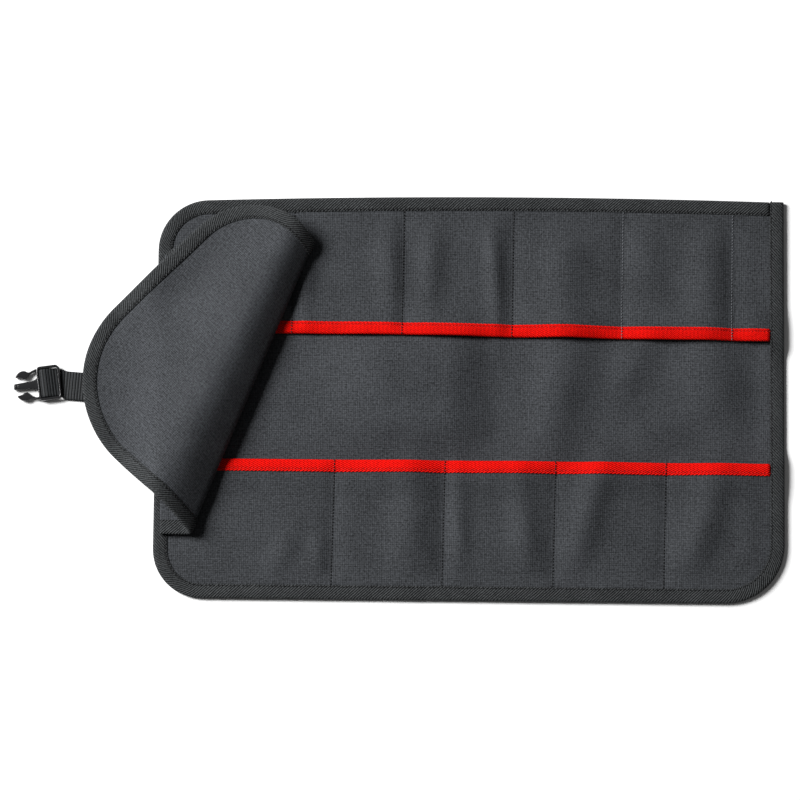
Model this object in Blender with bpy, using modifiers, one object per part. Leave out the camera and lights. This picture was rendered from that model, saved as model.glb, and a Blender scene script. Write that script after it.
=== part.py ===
"""Tool roll laid open: a bound panel with two rows of pockets, a folded flap, a strap and its buckle.

Metres, +Z up. The roll lies on Z = 0 with the middle of its whole box at X = Y = 0, the buckle towards -X.
"""

import math
from typing import NamedTuple

import bmesh
import bpy
import numpy as np

# Panel, with the tape's outer face as its outline
PANEL_LENGTH = 0.550
PANEL_WIDTH = 0.351
PANEL_CORNER = 0.043
PANEL_BOW = 0.0045  # how far the middle of the top edge stands out
CLOTH_WALL = 0.0012
CLEARANCE = 0.0004

# Tape folded over every edge
TAPE_WALL = 0.0010
TAPE_SHOWN = 0.0125
MOUTH_TAPE_SHOWN = 0.0110

# Pockets
POCKET_WALL = 0.0010
MOUTH_BAND = 0.110  # bare cloth between the two rows of mouths
MOUTH_SLANT = 0.0040  # how far the upper row's mouth drops towards the right
POCKET_PITCH = 0.0964
UPPER_LAST_POCKET = 0.0463
LOWER_LAST_POCKET = 0.1037
MOUTH_GAPE = 0.0018
MOUTH_EASE = 0.026  # length over which the cloth rises to its mouth
LEAST_POCKET = POCKET_PITCH / 6
STACK_STEP = 1.4  # where the pile under the edge tape starts to grow outside a mouth, in tape widths
SHUT_REACH = 1.9  # how far the flap presses the mouths shut, in reaches of its roll

# Flap, cut flat and then folded back along a slanting roll
HINGE_INSET = 0.006
FLAP_HINGE_TOP = 0.1353
FLAP_HINGE_BOTTOM = 0.1164
FLAP_FREE_TOP = 0.1376
FLAP_FREE_BOTTOM = 0.1345
FLAP_TOP_REACH = 0.2188
FLAP_BOTTOM_REACH = 0.2308
FLAP_TOP_CORNER = 0.0665
FLAP_BOTTOM_CORNER = 0.0948
FLAP_LIFT = 0.0085  # height of the lower layer
FLAP_REST = 0.0036  # least height of the upper layer over the lower
FOLD_REACH = 0.0815  # from the panel's edge to the roll, at mid width
FOLD_LEAN = math.radians(21.9)
FOLD_TOP_DEPTH = 0.019
FOLD_BOTTOM_DEPTH = 0.036
FOLD_TOP_RISE = 0.0175
FOLD_BOTTOM_RISE = 0.0255
DROOP_LENGTH = 0.046
DROOP_HEIGHT = 0.0029
CLIMB_SHARE = 1 / 3  # share of the roll over which the upper layer takes its own height
SEAT_REACHES = (-1.8, -0.9, 0.0, 0.9, 1.8)  # tape widths along the hinge that it rests on

# Strap and buckle
WEBBING_WIDTH = 0.025
WEBBING_WALL = 0.0012
STRAP_OFFSET = 0.0165  # above the middle of the panel's left edge
STRAP_TURN = math.radians(5.0)
STRAP_SEWN = 0.032
STRAP_TAIL_GAP = 0.026
STRAP_CREST = 0.0008  # how far the strap rises before it goes round the bar
DROOP_SPREAD = 2.2  # half width of the flap that the strap holds up, in strap widths
BUCKLE_REACH = 0.1225  # from the panel's edge to the tip of the prongs
BUCKLE_TURN = math.radians(2.5)
PLUG_LENGTH = 0.040
PLUG_WIDTH = 0.0320
PLUG_FRAME_LENGTH = 0.0195
PLUG_HEIGHT = 0.0058
PLUG_WALL = 0.0026
PLUG_BAR = 0.0030
PLUG_BAR_PLACE = 0.50  # share of the frame in front of the middle bar
REAR_BAR = 0.8  # thickness of the frame's end bars, in bars
FRONT_BAR = 0.75
PLUG_REST = 0.0001
PRONG_WALL = 0.0036
PRONG_WIDTH = 0.0048
PRONG_HEAD_LENGTH = 0.0120
PRONG_HEAD_WIDTH = 0.0068
PRONG_HEAD_SET_BACK = 0.0012
PRONG_ARM = 0.0022
PRONG_SPREAD = 0.0118
PRONG_ROOT = 1.6  # width of an arm where it leaves the frame, in arms
WEBBING_PLAY = 0.0014

# Socket hidden under the panel
SOCKET_LENGTH = 0.032
SOCKET_WIDTH = 0.034
SOCKET_HEIGHT = 0.0090
SOCKET_SIDE = 0.0026
SOCKET_FLOOR = 0.0016
SOCKET_DEPTH = 0.022
SOCKET_REACH = 0.246  # from the panel's edge to its mouth
SOCKET_OFFSET = 0.008
SOCKET_BAR = 0.0030
SOCKET_SLOT_END = 0.7  # wall between the tab's slot and the hollow, in bars
TAB_LENGTH = 0.044
TENT_MARGIN = 0.011
TENT_REAR_RAMP = 1.9  # in tab lengths
TENT_FRONT_RAMP = 0.95  # in socket lengths
TENT_SIDE_RAMP = 0.85  # in socket widths

# How finely the sheets are cut
CORNER_STEPS = 5
PANEL_COLUMNS = 27
POCKET_ROWS = 5
BAND_ROWS = 6
FLAP_ROWS = 9
HINGE_CUTS = 3
FREE_CUTS = 6
FREE_EDGE_SECTIONS = 8
SIDE_SECTIONS = 3
BAND_SECTIONS = 4
LEAST_SECTION = 0.002  # least gap between two sections of tape
CURVE_STEPS = 5
CHAIN_SAMPLES = 400
NORMAL_STEP = 0.0004
WELD_GAP = 0.00001
MITRE_LIMIT = 0.5


class Swell(NamedTuple):
    """A rise in the cloth: place and reach as shares of the panel, height as a share of SWELL_HEIGHT."""

    across: float
    up: float
    length: float
    width: float
    turn: float
    height: float


SWELL_HEIGHT = 0.0045
SWELL_AT_EDGE = 0.35  # share of a swell that is left at the bound edge
SWELL_EDGE_START = 0.010
SWELL_EDGE_EASE = 0.050
SWELLS = (
    Swell(0.335, 0.30, 0.050, 0.26, 4.0, 0.75),
    Swell(0.500, 0.33, 0.045, 0.30, -3.0, 1.00),
    Swell(0.675, 0.25, 0.055, 0.34, -4.0, 0.85),
    Swell(0.860, 0.33, 0.055, 0.24, 2.0, 0.70),
    Swell(0.610, 0.02, 0.060, 0.18, -20.0, 0.90),
    Swell(0.790, 0.06, 0.070, 0.15, 10.0, 0.55),
    Swell(0.400, -0.33, 0.055, 0.24, 0.0, 0.85),
    Swell(0.560, -0.30, 0.045, 0.26, 5.0, 0.80),
    Swell(0.735, -0.28, 0.060, 0.26, -16.0, 0.90),
    Swell(0.885, -0.34, 0.050, 0.22, -12.0, 0.75),
    Swell(0.240, -0.34, 0.045, 0.20, -20.0, 0.55),
)


class FoldStep(NamedTuple):
    """A point of the flap's roll, as shares of its depth, its rise and the height at which it rests."""

    depth: float
    rise: float
    rest: float


FOLD_SECTION = (
    FoldStep(0.60, 0.000, 0.0),
    FoldStep(0.25, 0.030, 0.0),
    FoldStep(0.06, 0.170, 0.1),
    FoldStep(0.00, 0.400, 0.3),
    FoldStep(0.10, 0.660, 0.5),
    FoldStep(0.38, 0.890, 0.8),
    FoldStep(0.75, 0.985, 1.0),
    FoldStep(1.10, 1.000, 1.0),
    FoldStep(1.80, 0.840, 1.0),
    FoldStep(2.60, 0.500, 1.0),
    FoldStep(3.40, 0.200, 1.0),
    FoldStep(4.20, 0.040, 1.0),
)
FOLD_CUT_SHARE = 0.80  # share of the section's length that the flap's cross cuts follow
CUT_STEEP = 0.5  # the tape's sections follow the cuts where a cut meets the edge more squarely than this
CUT_EASE = 0.35


class ProngPoint(NamedTuple):
    """A point of a prong's outline: back from its tip and out from its middle, as shares of its size."""

    back: float
    out: float


PRONG_HEAD = (
    ProngPoint(1.00, 1.00),
    ProngPoint(0.55, 0.85),
    ProngPoint(0.00, -0.10),
    ProngPoint(0.00, -0.60),
    ProngPoint(0.70, -0.90),
)
PRONG_TIP = (
    ProngPoint(0.60, 0.85),
    ProngPoint(0.00, 0.50),
)

LEFT = (BUCKLE_REACH - PANEL_LENGTH) / 2
RIGHT = LEFT + PANEL_LENGTH
BOTTOM = -(PANEL_WIDTH + PANEL_BOW) / 2
TOP = BOTTOM + PANEL_WIDTH
CLOTH_INSET = TAPE_WALL + CLEARANCE
TAPE_LIFT = TAPE_WALL + CLEARANCE
HINGE_X = LEFT + HINGE_INSET
TAPE_ROW = TAPE_SHOWN + 2 * CLEARANCE  # where the sheets are cut beside the tape
POCKET_SKIN = POCKET_WALL / 2
FLAP_SKIN = CLOTH_WALL / 2 + 2 * CLEARANCE  # half the flap's cloth, with room for its tape on the bend
MOUTH_ROW = MOUTH_TAPE_SHOWN + 2 * CLEARANCE


def smooth(value):
    """Eases 0 to 1 over 0 to 1, and holds the ends."""
    held = min(max(value, 0.0), 1.0)
    return held * held * (3 - 2 * held)


def material(name, colour, roughness, metallic=0.0):
    made = bpy.data.materials.new(name)
    made.use_nodes = True
    shader = made.node_tree.nodes["Principled BSDF"]
    shader.inputs["Base Color"].default_value = (*colour, 1)
    shader.inputs["Roughness"].default_value = roughness
    shader.inputs["Metallic"].default_value = metallic
    return made


def add_object(name, vertices, faces, finish):
    """Makes a mesh object from a lofted surface or body, in the part's collection."""
    mesh = bpy.data.meshes.new(name)
    mesh.from_pydata([tuple(v) for v in vertices], [], faces)
    mesh.validate()
    obj = bpy.data.objects.new(name, mesh)
    bpy.data.collections["tool_roll"].objects.link(obj)
    mesh.materials.append(finish)
    return obj


def thicken(obj, wall):
    shell = obj.modifiers.new("wall", "SOLIDIFY")
    shell.thickness = wall
    shell.offset = 0
    shell.use_even_offset = False


def add_sheet(name, grid, wall, finish):
    """Makes a cloth sheet from columns of points, left to right and bottom to top."""
    columns, rows = len(grid), len(grid[0])
    vertices = [point for column in grid for point in column]
    faces = []
    for i in range(columns - 1):
        for j in range(rows - 1):
            low = i * rows + j
            faces.append((low, low + rows, low + rows + 1, low + 1))
    obj = add_object(name, vertices, faces, finish)
    thicken(obj, wall)
    return obj


def add_sweep(name, sections, finish):
    """Joins eight-cornered U sections into one closed strip of folded tape."""
    corners = len(sections[0])
    vertices = [point for section in sections for point in section]
    faces = []
    for i in range(len(sections) - 1):
        for j in range(corners):
            k = (j + 1) % corners
            a, b = i * corners, (i + 1) * corners
            faces.append((a + j, a + k, b + k, b + j))
    last = (len(sections) - 1) * corners
    for a, b, c, d in ((0, 1, 6, 7), (1, 2, 5, 6), (2, 3, 4, 5)):
        faces.append((d, c, b, a))
        faces.append((last + a, last + b, last + c, last + d))
    return add_object(name, vertices, faces, finish)


# Heights of the panel and the pockets


def edge_distance(x, y):
    """Distance in from the panel's nearest side."""
    nearest = min(x - LEFT, RIGHT - x, y - BOTTOM, TOP + bow(x) - y)
    right_round = RIGHT - PANEL_CORNER if y < 0 else RIGHT
    into_x = max(LEFT + PANEL_CORNER - x, x - right_round)
    into_y = max(BOTTOM + PANEL_CORNER - y, y - TOP - bow(x) + PANEL_CORNER)
    if into_x > 0 and into_y > 0:
        return PANEL_CORNER - math.hypot(into_x, into_y)
    return nearest


def tent(x, y):
    """How far the socket and its tab hold the panel up, 0 to 1."""
    mouth = LEFT + SOCKET_REACH
    left_full = mouth - SOCKET_LENGTH - TENT_MARGIN
    ramp = TAB_LENGTH * TENT_REAR_RAMP
    right_ramp = SOCKET_LENGTH * TENT_FRONT_RAMP
    side_full = SOCKET_WIDTH / 2 + TENT_MARGIN
    side_ramp = SOCKET_WIDTH * TENT_SIDE_RAMP
    rear = smooth((x - left_full + ramp) / ramp)
    across = rear * smooth((mouth + TENT_MARGIN + right_ramp - x) / right_ramp)
    return across * smooth((side_full + side_ramp - abs(y - SOCKET_OFFSET)) / side_ramp)


def strap_lift(x, y):
    """How far the sewn end of the strap holds the panel's edge up, 0 to 1."""
    along = smooth((LEFT + 2 * STRAP_SEWN - x) / STRAP_SEWN)
    side = WEBBING_WIDTH
    return along * smooth((2 * side - abs(y - STRAP_OFFSET)) / side)


def swell(x, y):
    """Sum of the cloth's own rises, flattened towards the bound edges."""
    total = 0.0
    for row in SWELLS:
        dx = x - LEFT - row.across * PANEL_LENGTH
        dy = y - row.up * PANEL_WIDTH
        turn = math.radians(row.turn)
        along = (dx * math.cos(turn) + dy * math.sin(turn)) / (row.length * PANEL_LENGTH)
        side = (dy * math.cos(turn) - dx * math.sin(turn)) / (row.width * PANEL_WIDTH)
        total += row.height * math.exp(-along * along - side * side)
    inside = smooth((edge_distance(x, y) - SWELL_EDGE_START) / SWELL_EDGE_EASE)
    return total * SWELL_HEIGHT * (SWELL_AT_EDGE + (1 - SWELL_AT_EDGE) * inside)


def panel_height(x, y):
    """Height of the middle of the panel's cloth."""
    edge = TAPE_LIFT * (1 - smooth((edge_distance(x, y) - TAPE_ROW) / TAPE_SHOWN))
    held = max((SOCKET_HEIGHT + CLEARANCE) * tent(x, y), (WEBBING_WALL + CLEARANCE) * strap_lift(x, y))
    return CLOTH_WALL / 2 + edge + held + swell(x, y) * (1 - smooth(tent(x, y)))


def mouth_line(x, upper):
    """Y of a row's mouth, at the tape's outer face."""
    if upper:
        return MOUTH_BAND / 2 - MOUTH_SLANT * ((x - LEFT) / PANEL_LENGTH - 0.5)
    return -MOUTH_BAND / 2


def seam_places(upper):
    """X of each seam between pockets, right to left, with the bound edges as first and last."""
    last = UPPER_LAST_POCKET if upper else LOWER_LAST_POCKET
    places = [RIGHT]
    place = RIGHT - last
    while place > LEFT + LEAST_POCKET:
        places.append(place)
        place -= POCKET_PITCH
    return [*places, LEFT]


def gape(x, upper):
    """How open a mouth stands at x, 0 at the seams. The pockets under the flap are pressed shut."""
    places = seam_places(upper)
    for right, left in zip(places, places[1:]):
        if left <= x <= right:
            wave = math.sin(math.pi * (x - left) / (right - left)) ** 2
            return wave * smooth((x - LEFT - SHUT_REACH * FOLD_REACH) / (FOLD_REACH / 2))
    return 0.0


def pocket_height(x, y, upper):
    """Height of the middle of a pocket row's cloth. Past its mouth it runs down to the panel."""
    depth = (y - mouth_line(x, upper)) * (1 if upper else -1)
    near = 1 - smooth((depth - MOUTH_ROW) / MOUTH_EASE) if depth > 0 else 1 - smooth(-depth / TAPE_SHOWN)
    over = CLOTH_WALL / 2 + CLEARANCE + POCKET_WALL / 2
    rise = TAPE_LIFT + CLEARANCE + MOUTH_GAPE * gape(x, upper)
    return panel_height(x, y) + over + near * rise


def stack_over_panel(x, y):
    """Thickness of what lies on the middle of the panel's cloth, under the edge tape."""
    upper = y > 0
    depth = (y - mouth_line(x, upper)) * (1 if upper else -1)
    bare = CLOTH_WALL / 2
    full = pocket_height(x, y, upper) - panel_height(x, y) + POCKET_WALL / 2
    return bare + (full - bare) * smooth((depth + STACK_STEP * TAPE_SHOWN) / TAPE_SHOWN)


def stack_at(point):
    return stack_over_panel(point[0], point[1])


def edge_tape_top(x, y):
    return panel_height(x, y) + stack_over_panel(x, y) + CLEARANCE + TAPE_WALL


# Outline of the panel


def panel_columns(inset):
    """Bottom and top chains of the panel's outline, drawn in by inset: one point each for every column."""
    left, right = LEFT + inset, RIGHT - inset
    top, bottom = TOP - inset, BOTTOM + inset
    radius = PANEL_CORNER - inset
    low, high = [], []
    for step in range(CORNER_STEPS + 1):
        turn = math.pi / 2 * step / CORNER_STEPS
        x = left + radius * (1 - math.cos(turn))
        low.append((x, bottom + radius * (1 - math.sin(turn))))
        high.append((x, top - radius * (1 - math.sin(turn)) + bow(x)))
    for step in range(1, PANEL_COLUMNS):
        x = left + radius + (right - left - 2 * radius) * step / PANEL_COLUMNS
        low.append((x, bottom))
        high.append((x, top + bow(x)))
    for step in range(CORNER_STEPS, -1, -1):
        turn = math.pi / 2 * step / CORNER_STEPS
        x = right - radius * (1 - math.cos(turn))
        low.append((x, bottom + radius * (1 - math.sin(turn))))
        high.append((x, top + bow(x)))
    return low, high


def bow(x):
    """How far the top edge stands out at x."""
    share = (x - LEFT) / PANEL_LENGTH
    return PANEL_BOW * 4 * share * (1 - share)


def between(start, end, count):
    return [start + (end - start) * i / count for i in range(count + 1)]


def pocket_rows(mouth, edge):
    """Y of the cuts across a pocket row, from its mouth to the bound edge, with one beside each tape."""
    way = math.copysign(1, edge)
    first, last = mouth + way * MOUTH_ROW, edge - way * (TAPE_ROW - CLOTH_INSET)
    return [mouth, *between(first, last, POCKET_ROWS), edge]


def make_panel(finish):
    grid = []
    for (x, low), (_, high) in zip(*panel_columns(CLOTH_INSET)):
        ys = pocket_rows(mouth_line(x, False), low)[::-1]
        ys += between(mouth_line(x, False), mouth_line(x, True), BAND_ROWS)[1:]
        ys += pocket_rows(mouth_line(x, True), high)[1:]
        grid.append([(x, y, panel_height(x, y)) for y in ys])
    return add_sheet("back_panel", grid, CLOTH_WALL, finish)


def make_pocket_row(name, upper, finish):
    grid = []
    for (x, low), (_, high) in zip(*panel_columns(CLOTH_INSET)):
        mouth = mouth_line(x, upper)
        edge = high if upper else low
        ys = pocket_rows(mouth, edge)
        ys[0] += math.copysign(CLOTH_INSET, edge)
        column = [(x, y, pocket_height(x, y, upper)) for y in ys]
        grid.append(column if upper else column[::-1])
    return add_sheet(name, grid, POCKET_WALL, finish)


def tape_section(place, inward, shown, under, over):
    """The eight corners of a folded tape, from its surface function.

    place(distance) gives the sheet's point and normal that far in from the edge along inward.
    """
    corners = []
    plan = (
        (shown, -1, TAPE_WALL),
        (0.0, -1, TAPE_WALL),
        (0.0, 1, TAPE_WALL),
        (shown, 1, TAPE_WALL),
        (shown, 1, 0.0),
        (TAPE_WALL, 1, 0.0),
        (TAPE_WALL, -1, 0.0),
        (shown, -1, 0.0),
    )
    for distance, side, skin in plan:
        point, normal = place(distance * inward)
        reach = (over(point) if side > 0 else under) + CLEARANCE + skin
        corners.append(point + normal * side * reach)
    return corners


def make_mouth_tape(name, upper, finish):
    """Tape over one row's mouth, between the two bound edges."""
    sections = []
    inner_left = LEFT + TAPE_SHOWN + CLEARANCE
    inner_right = RIGHT - TAPE_SHOWN - CLEARANCE
    starts, ends = inner_left + LEAST_SECTION, inner_right - LEAST_SECTION
    columns = [x for x, _ in panel_columns(CLOTH_INSET)[0] if starts < x < ends]
    for x in [inner_left, *columns, inner_right]:
        into = 1 if upper else -1

        def place(distance, x=x, into=into):
            mouth = mouth_line(x, upper)
            height = pocket_height(x, mouth + into * max(abs(distance), CLOTH_INSET), upper)
            return np.array((x, mouth + distance, height)), np.array((0.0, 0.0, 1.0))

        sections.append(tape_section(place, into, MOUTH_TAPE_SHOWN, POCKET_SKIN, lambda _: POCKET_SKIN))
    return add_sweep(name, sections[::-1] if upper else sections, finish)


def side_stations(x, low, high):
    """Y of the tape's sections up one side: close together where the pockets' mouths make a step."""
    steps = (-STACK_STEP * TAPE_SHOWN, (1 - STACK_STEP) * TAPE_SHOWN, 0.0, TAPE_SHOWN)
    stations = [low]
    stations += [mouth_line(x, False) - step for step in steps[::-1]]
    band_low, band_high = mouth_line(x, False) + 2 * TAPE_SHOWN, mouth_line(x, True) - 2 * TAPE_SHOWN
    stations += between(band_low, band_high, BAND_SECTIONS)
    stations += [mouth_line(x, True) + step for step in steps]
    inner = mouth_line(x, True) + 2 * TAPE_SHOWN
    stations += between(inner, high, SIDE_SECTIONS)
    below = between(low, mouth_line(x, False) - 2 * TAPE_SHOWN, SIDE_SECTIONS)[1:]
    return sorted([*stations, *below])


def panel_path():
    """The panel's outline from its square corner down, round and back along the top, with ways in."""
    low, high = panel_columns(0.0)
    path = []
    for y in side_stations(RIGHT, low[-1][1], TOP + bow(RIGHT))[:0:-1]:
        path.append(((RIGHT, y), (-1.0, 0.0)))
    for point in low[::-1]:
        path.append((point, None))
    for y in side_stations(LEFT, low[0][1], high[0][1])[1:-1]:
        path.append(((LEFT, y), (1.0, 0.0)))
    stop = RIGHT - TAPE_SHOWN - CLEARANCE
    tops = [point for point in high if point[0] < stop - LEAST_SECTION]
    for point in [*tops, (stop, TOP + bow(stop))]:
        path.append((point, None))
    return path


def inward_ways(path):
    """Fills in each point's way in from the chords on both sides of it. The path runs clockwise."""
    points = [np.array(point) for point, _ in path]
    ways = []
    for i, (_, given) in enumerate(path):
        if given is not None:
            ways.append(np.array(given))
            continue
        before = points[max(i - 1, 0)]
        after = points[min(i + 1, len(points) - 1)]
        along = (after - before) / np.linalg.norm(after - before)
        ways.append(np.array((along[1], -along[0])))
    return points, ways


def make_edge_tape(finish):
    points, ways = inward_ways(panel_path())
    sections = []
    for point, way in zip(points, ways):

        def place(distance, point=point, way=way):
            at = point + way * distance
            return np.array((*at, panel_height(*at))), np.array((0.0, 0.0, 1.0))

        sections.append(tape_section(place, 1, TAPE_SHOWN, CLOTH_WALL / 2, stack_at))
    return add_sweep("edge_tape", sections, finish)


# Flap


def fold_frame():
    """A point on the roll's outer line, its way down and its way left."""
    start = np.array((LEFT + FOLD_REACH + FLAP_FREE_TOP * math.tan(FOLD_LEAN), FLAP_FREE_TOP))
    down = np.array((-math.sin(FOLD_LEAN), -math.cos(FOLD_LEAN)))
    left = np.array((-math.cos(FOLD_LEAN), math.sin(FOLD_LEAN)))
    return start, down, left


def fold_sizes(along):
    """Depth and rise of the roll at a distance down it."""
    length = (FLAP_FREE_TOP + FLAP_FREE_BOTTOM) / math.cos(FOLD_LEAN)
    share = min(max(along / length, 0.0), 1.0)
    depth = FOLD_TOP_DEPTH + (FOLD_BOTTOM_DEPTH - FOLD_TOP_DEPTH) * share
    rise = FOLD_TOP_RISE + (FOLD_BOTTOM_RISE - FOLD_TOP_RISE) * share
    return depth, rise


def smooth_rows(rows, steps):
    """A curve through the rows, steps to each."""
    rows = np.array(rows, float)
    rows = np.vstack([2 * rows[0] - rows[1], rows, 2 * rows[-1] - rows[-2]])
    made = []
    for a, b, c, d in zip(rows, rows[1:], rows[2:], rows[3:]):
        for t in np.arange(steps) / steps:
            bend = (2 * a - 5 * b + 4 * c - d) * t**2 + (3 * b - a - 3 * c + d) * t**3
            made.append(b + ((c - a) * t + bend) / 2)
    return np.array([*made, rows[-2]])


FOLD_CURVE = smooth_rows(FOLD_SECTION, CURVE_STEPS)


def fold_profile(along):
    """The roll's section at a distance down it: how far left of its line, how high, and its length."""
    depth, rise = fold_sizes(along)
    left = FOLD_CURVE[:, 0] * depth
    high = FOLD_CURVE[:, 1] * (rise - FLAP_REST) + FOLD_CURVE[:, 2] * FLAP_REST
    length = np.concatenate([[0.0], np.cumsum(np.hypot(np.diff(left), np.diff(high)))])
    return left, high, length


def hinge_seat(y):
    """Height of the flap's cloth where it is sewn on the edge tape."""
    end = min(FLAP_HINGE_TOP - y, y + FLAP_HINGE_BOTTOM)
    taped = TAPE_LIFT * (1 - smooth((end - TAPE_SHOWN) / TAPE_SHOWN))
    under = max(edge_tape_top(HINGE_X, y + reach * TAPE_SHOWN) for reach in SEAT_REACHES)
    return under + 2 * CLEARANCE + CLOTH_WALL / 2 + taped


def strap_under_flap(x, y):
    """How far the strap holds the drooping layer up, 0 to 1."""
    middle = STRAP_OFFSET + (x - LEFT) * math.tan(STRAP_TURN)
    ramp = (DROOP_SPREAD - 1) * WEBBING_WIDTH
    return smooth((DROOP_SPREAD * WEBBING_WIDTH - abs(y - middle)) / ramp)


def folded(x, y):
    """Where a point of the flat flap lies once it is folded back."""
    start, down, left = fold_frame()
    flat = np.array((x, y)) - start
    along, away = float(flat @ down), float(flat @ left)
    across, high, length = fold_profile(along)
    arc = across[0] - away
    eased = smooth((x - HINGE_X) / (2 * TAPE_SHOWN))
    base = hinge_seat(y) * (1 - eased) + FLAP_LIFT * eased
    if arc <= 0:
        return np.array((x, y, base))
    if arc < length[-1]:
        reach = np.interp(arc, length, across)
        rise = np.interp(arc, length, high)
    else:
        reach = across[-1] + arc - length[-1]
        rise = high[-1]
    at = start + down * along + left * reach
    climb = smooth(arc / (length[-1] * CLIMB_SHARE))
    height = base * (1 - climb) + FLAP_LIFT * climb + rise
    over_strap = (2 * WEBBING_WALL + CLEARANCE) * strap_under_flap(*at)
    droop = smooth((LEFT + HINGE_INSET - at[0]) / DROOP_LENGTH)
    height = height * (1 - droop) + (DROOP_HEIGHT + over_strap) * droop
    return np.array((*at, height))


def folded_normal(x, y):
    """The folded flap's normal on the side that faced up when it lay flat."""
    along = folded(x + NORMAL_STEP, y) - folded(x - NORMAL_STEP, y)
    up = folded(x, y + NORMAL_STEP) - folded(x, y - NORMAL_STEP)
    normal = np.cross(along, up)
    return normal / np.linalg.norm(normal)


def round_corner(before, corner, after, radius, steps):
    """Points of the arc that rounds a corner."""
    u = (before - corner) / np.linalg.norm(before - corner)
    v = (after - corner) / np.linalg.norm(after - corner)
    half = math.acos(float(u @ v)) / 2
    centre = corner + (u + v) / np.linalg.norm(u + v) * radius / math.sin(half)
    first = corner + u * radius / math.tan(half) - centre
    last = corner + v * radius / math.tan(half) - centre
    start = math.atan2(first[1], first[0])
    swing = (math.atan2(last[1], last[0]) - start + math.pi) % (2 * math.pi) - math.pi
    angles = between(start, start + swing, steps)
    return [centre + radius * np.array((math.cos(a), math.sin(a))) for a in angles]


def flap_chains(inset):
    """The flat flap's top and bottom outline, each from the hinge to the end of its round corner."""
    hinge_top = np.array((HINGE_X, FLAP_HINGE_TOP - inset))
    hinge_bottom = np.array((HINGE_X, inset - FLAP_HINGE_BOTTOM))
    free_top = np.array((HINGE_X + FLAP_TOP_REACH - inset, FLAP_FREE_TOP - inset))
    free_bottom = np.array((HINGE_X + FLAP_BOTTOM_REACH - inset, inset - FLAP_FREE_BOTTOM))
    steps = 4 * CORNER_STEPS
    top = [hinge_top, *round_corner(hinge_top, free_top, free_bottom, FLAP_TOP_CORNER - inset, steps)]
    bottom_arc = round_corner(hinge_bottom, free_bottom, free_top, FLAP_BOTTOM_CORNER - inset, steps)
    return top, [hinge_bottom, *bottom_arc]


def chain_lengths(chain):
    return np.concatenate([[0.0], np.cumsum([np.linalg.norm(b - a) for a, b in zip(chain, chain[1:])])])


def chain_point(chain, length):
    total = chain_lengths(chain)
    return np.array([np.interp(length, total, [p[i] for p in chain]) for i in range(2)])


def chain_crossing(chain, away):
    """The length along a chain at which it is this far left of the roll's line."""
    start, _, left = fold_frame()
    total = chain_lengths(chain)
    fine = np.linspace(0, total[-1], CHAIN_SAMPLES)
    offsets = [float((chain_point(chain, s) - start) @ left) for s in fine]
    return float(np.interp(-away, [-o for o in offsets], fine))


def flap_cuts(chain):
    """Lengths along a chain where the flap's cross cuts meet it: hinge, roll, free edge."""
    start, down, _ = fold_frame()
    middle = chain_point(chain, chain_crossing(chain, 0.0))
    left, _, length = fold_profile(float((middle - start) @ down))
    count = len(FOLD_CURVE) - 1
    last = int(count * FOLD_CUT_SHARE)
    picks = [i for i in range(last + 1) if i % 2 == 0]
    cuts = [chain_crossing(chain, left[0] - length[i]) for i in picks]
    total = chain_lengths(chain)[-1]
    return [*between(0.0, cuts[0], HINGE_CUTS)[:-1], *cuts, *between(cuts[-1], total, FREE_CUTS)[1:]]


def flap_rows(foot, head):
    """Shares of a cross cut at which the sheet has its rows, with one beside the tape at each end."""
    side = TAPE_ROW / math.cos(FOLD_LEAN) / float(np.linalg.norm(head - foot))
    return [0.0, *between(side, 1.0 - side, FLAP_ROWS), 1.0]


def make_flap(finish):
    top, bottom = flap_chains(CLOTH_INSET)
    grid = []
    for low, high in zip(flap_cuts(bottom), flap_cuts(top)):
        foot, head = chain_point(bottom, low), chain_point(top, high)
        grid.append([folded(*(foot + (head - foot) * share)) for share in flap_rows(foot, head)])
    return add_sheet("flap", grid, CLOTH_WALL, finish)


def flap_path():
    """The flap's outline from the hinge's foot round to its head, with ways in that follow the cuts."""
    top, bottom = flap_chains(0.0)
    lows = [chain_point(bottom, s) for s in flap_cuts(bottom)]
    highs = [chain_point(top, s) for s in flap_cuts(top)]
    cuts = [(high - low) / np.linalg.norm(high - low) for low, high in zip(lows, highs)]
    path = list(zip(lows, cuts))
    free = between(lows[-1], highs[-1], FREE_EDGE_SECTIONS)[1:-1]
    path += [(point, None) for point in free]
    path += [(high, -cut) for high, cut in zip(highs[::-1], cuts[::-1])]
    return path


def make_flap_tape(finish):
    path = flap_path()
    points = [point for point, _ in path]
    sections = []
    for i, (point, cut) in enumerate(path):
        before, after = points[max(i - 1, 0)], points[min(i + 1, len(points) - 1)]
        along = (after - before) / np.linalg.norm(after - before)
        way = np.array((-along[1], along[0]))
        if cut is not None:
            share = smooth((float(cut @ way) - CUT_STEEP) / CUT_EASE)
            way_in = cut * share + way * (1 - share)
        else:
            way_in = way
        way_in = way_in / float(way_in @ way)

        def place(distance, point=point, way_in=way_in):
            at = point + way_in * distance
            return folded(*at), folded_normal(*at)

        sections.append(tape_section(place, 1, TAPE_SHOWN, FLAP_SKIN, lambda _: FLAP_SKIN))
    return add_sweep("flap_tape", sections[::-1], finish)


# Webbing and buckle


def ribbon(route, wall):
    """Outline of a strip of webbing seen from its side, from the middle of its wall."""
    points = [np.array(p) for p in route]
    sides = []
    for i, point in enumerate(points):
        before, after = points[max(i - 1, 0)], points[min(i + 1, len(points) - 1)]
        first = (point - before) if i else (after - point)
        second = (after - point) if i < len(points) - 1 else first
        u, v = first / np.linalg.norm(first), second / np.linalg.norm(second)
        bisector = (u + v) / np.linalg.norm(u + v)
        across = np.array((-bisector[1], bisector[0])) / max(float(bisector @ u), MITRE_LIMIT)
        sides.append((point + across * wall / 2, point - across * wall / 2))
    return [a for a, _ in sides] + [b for _, b in sides[::-1]]


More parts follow.
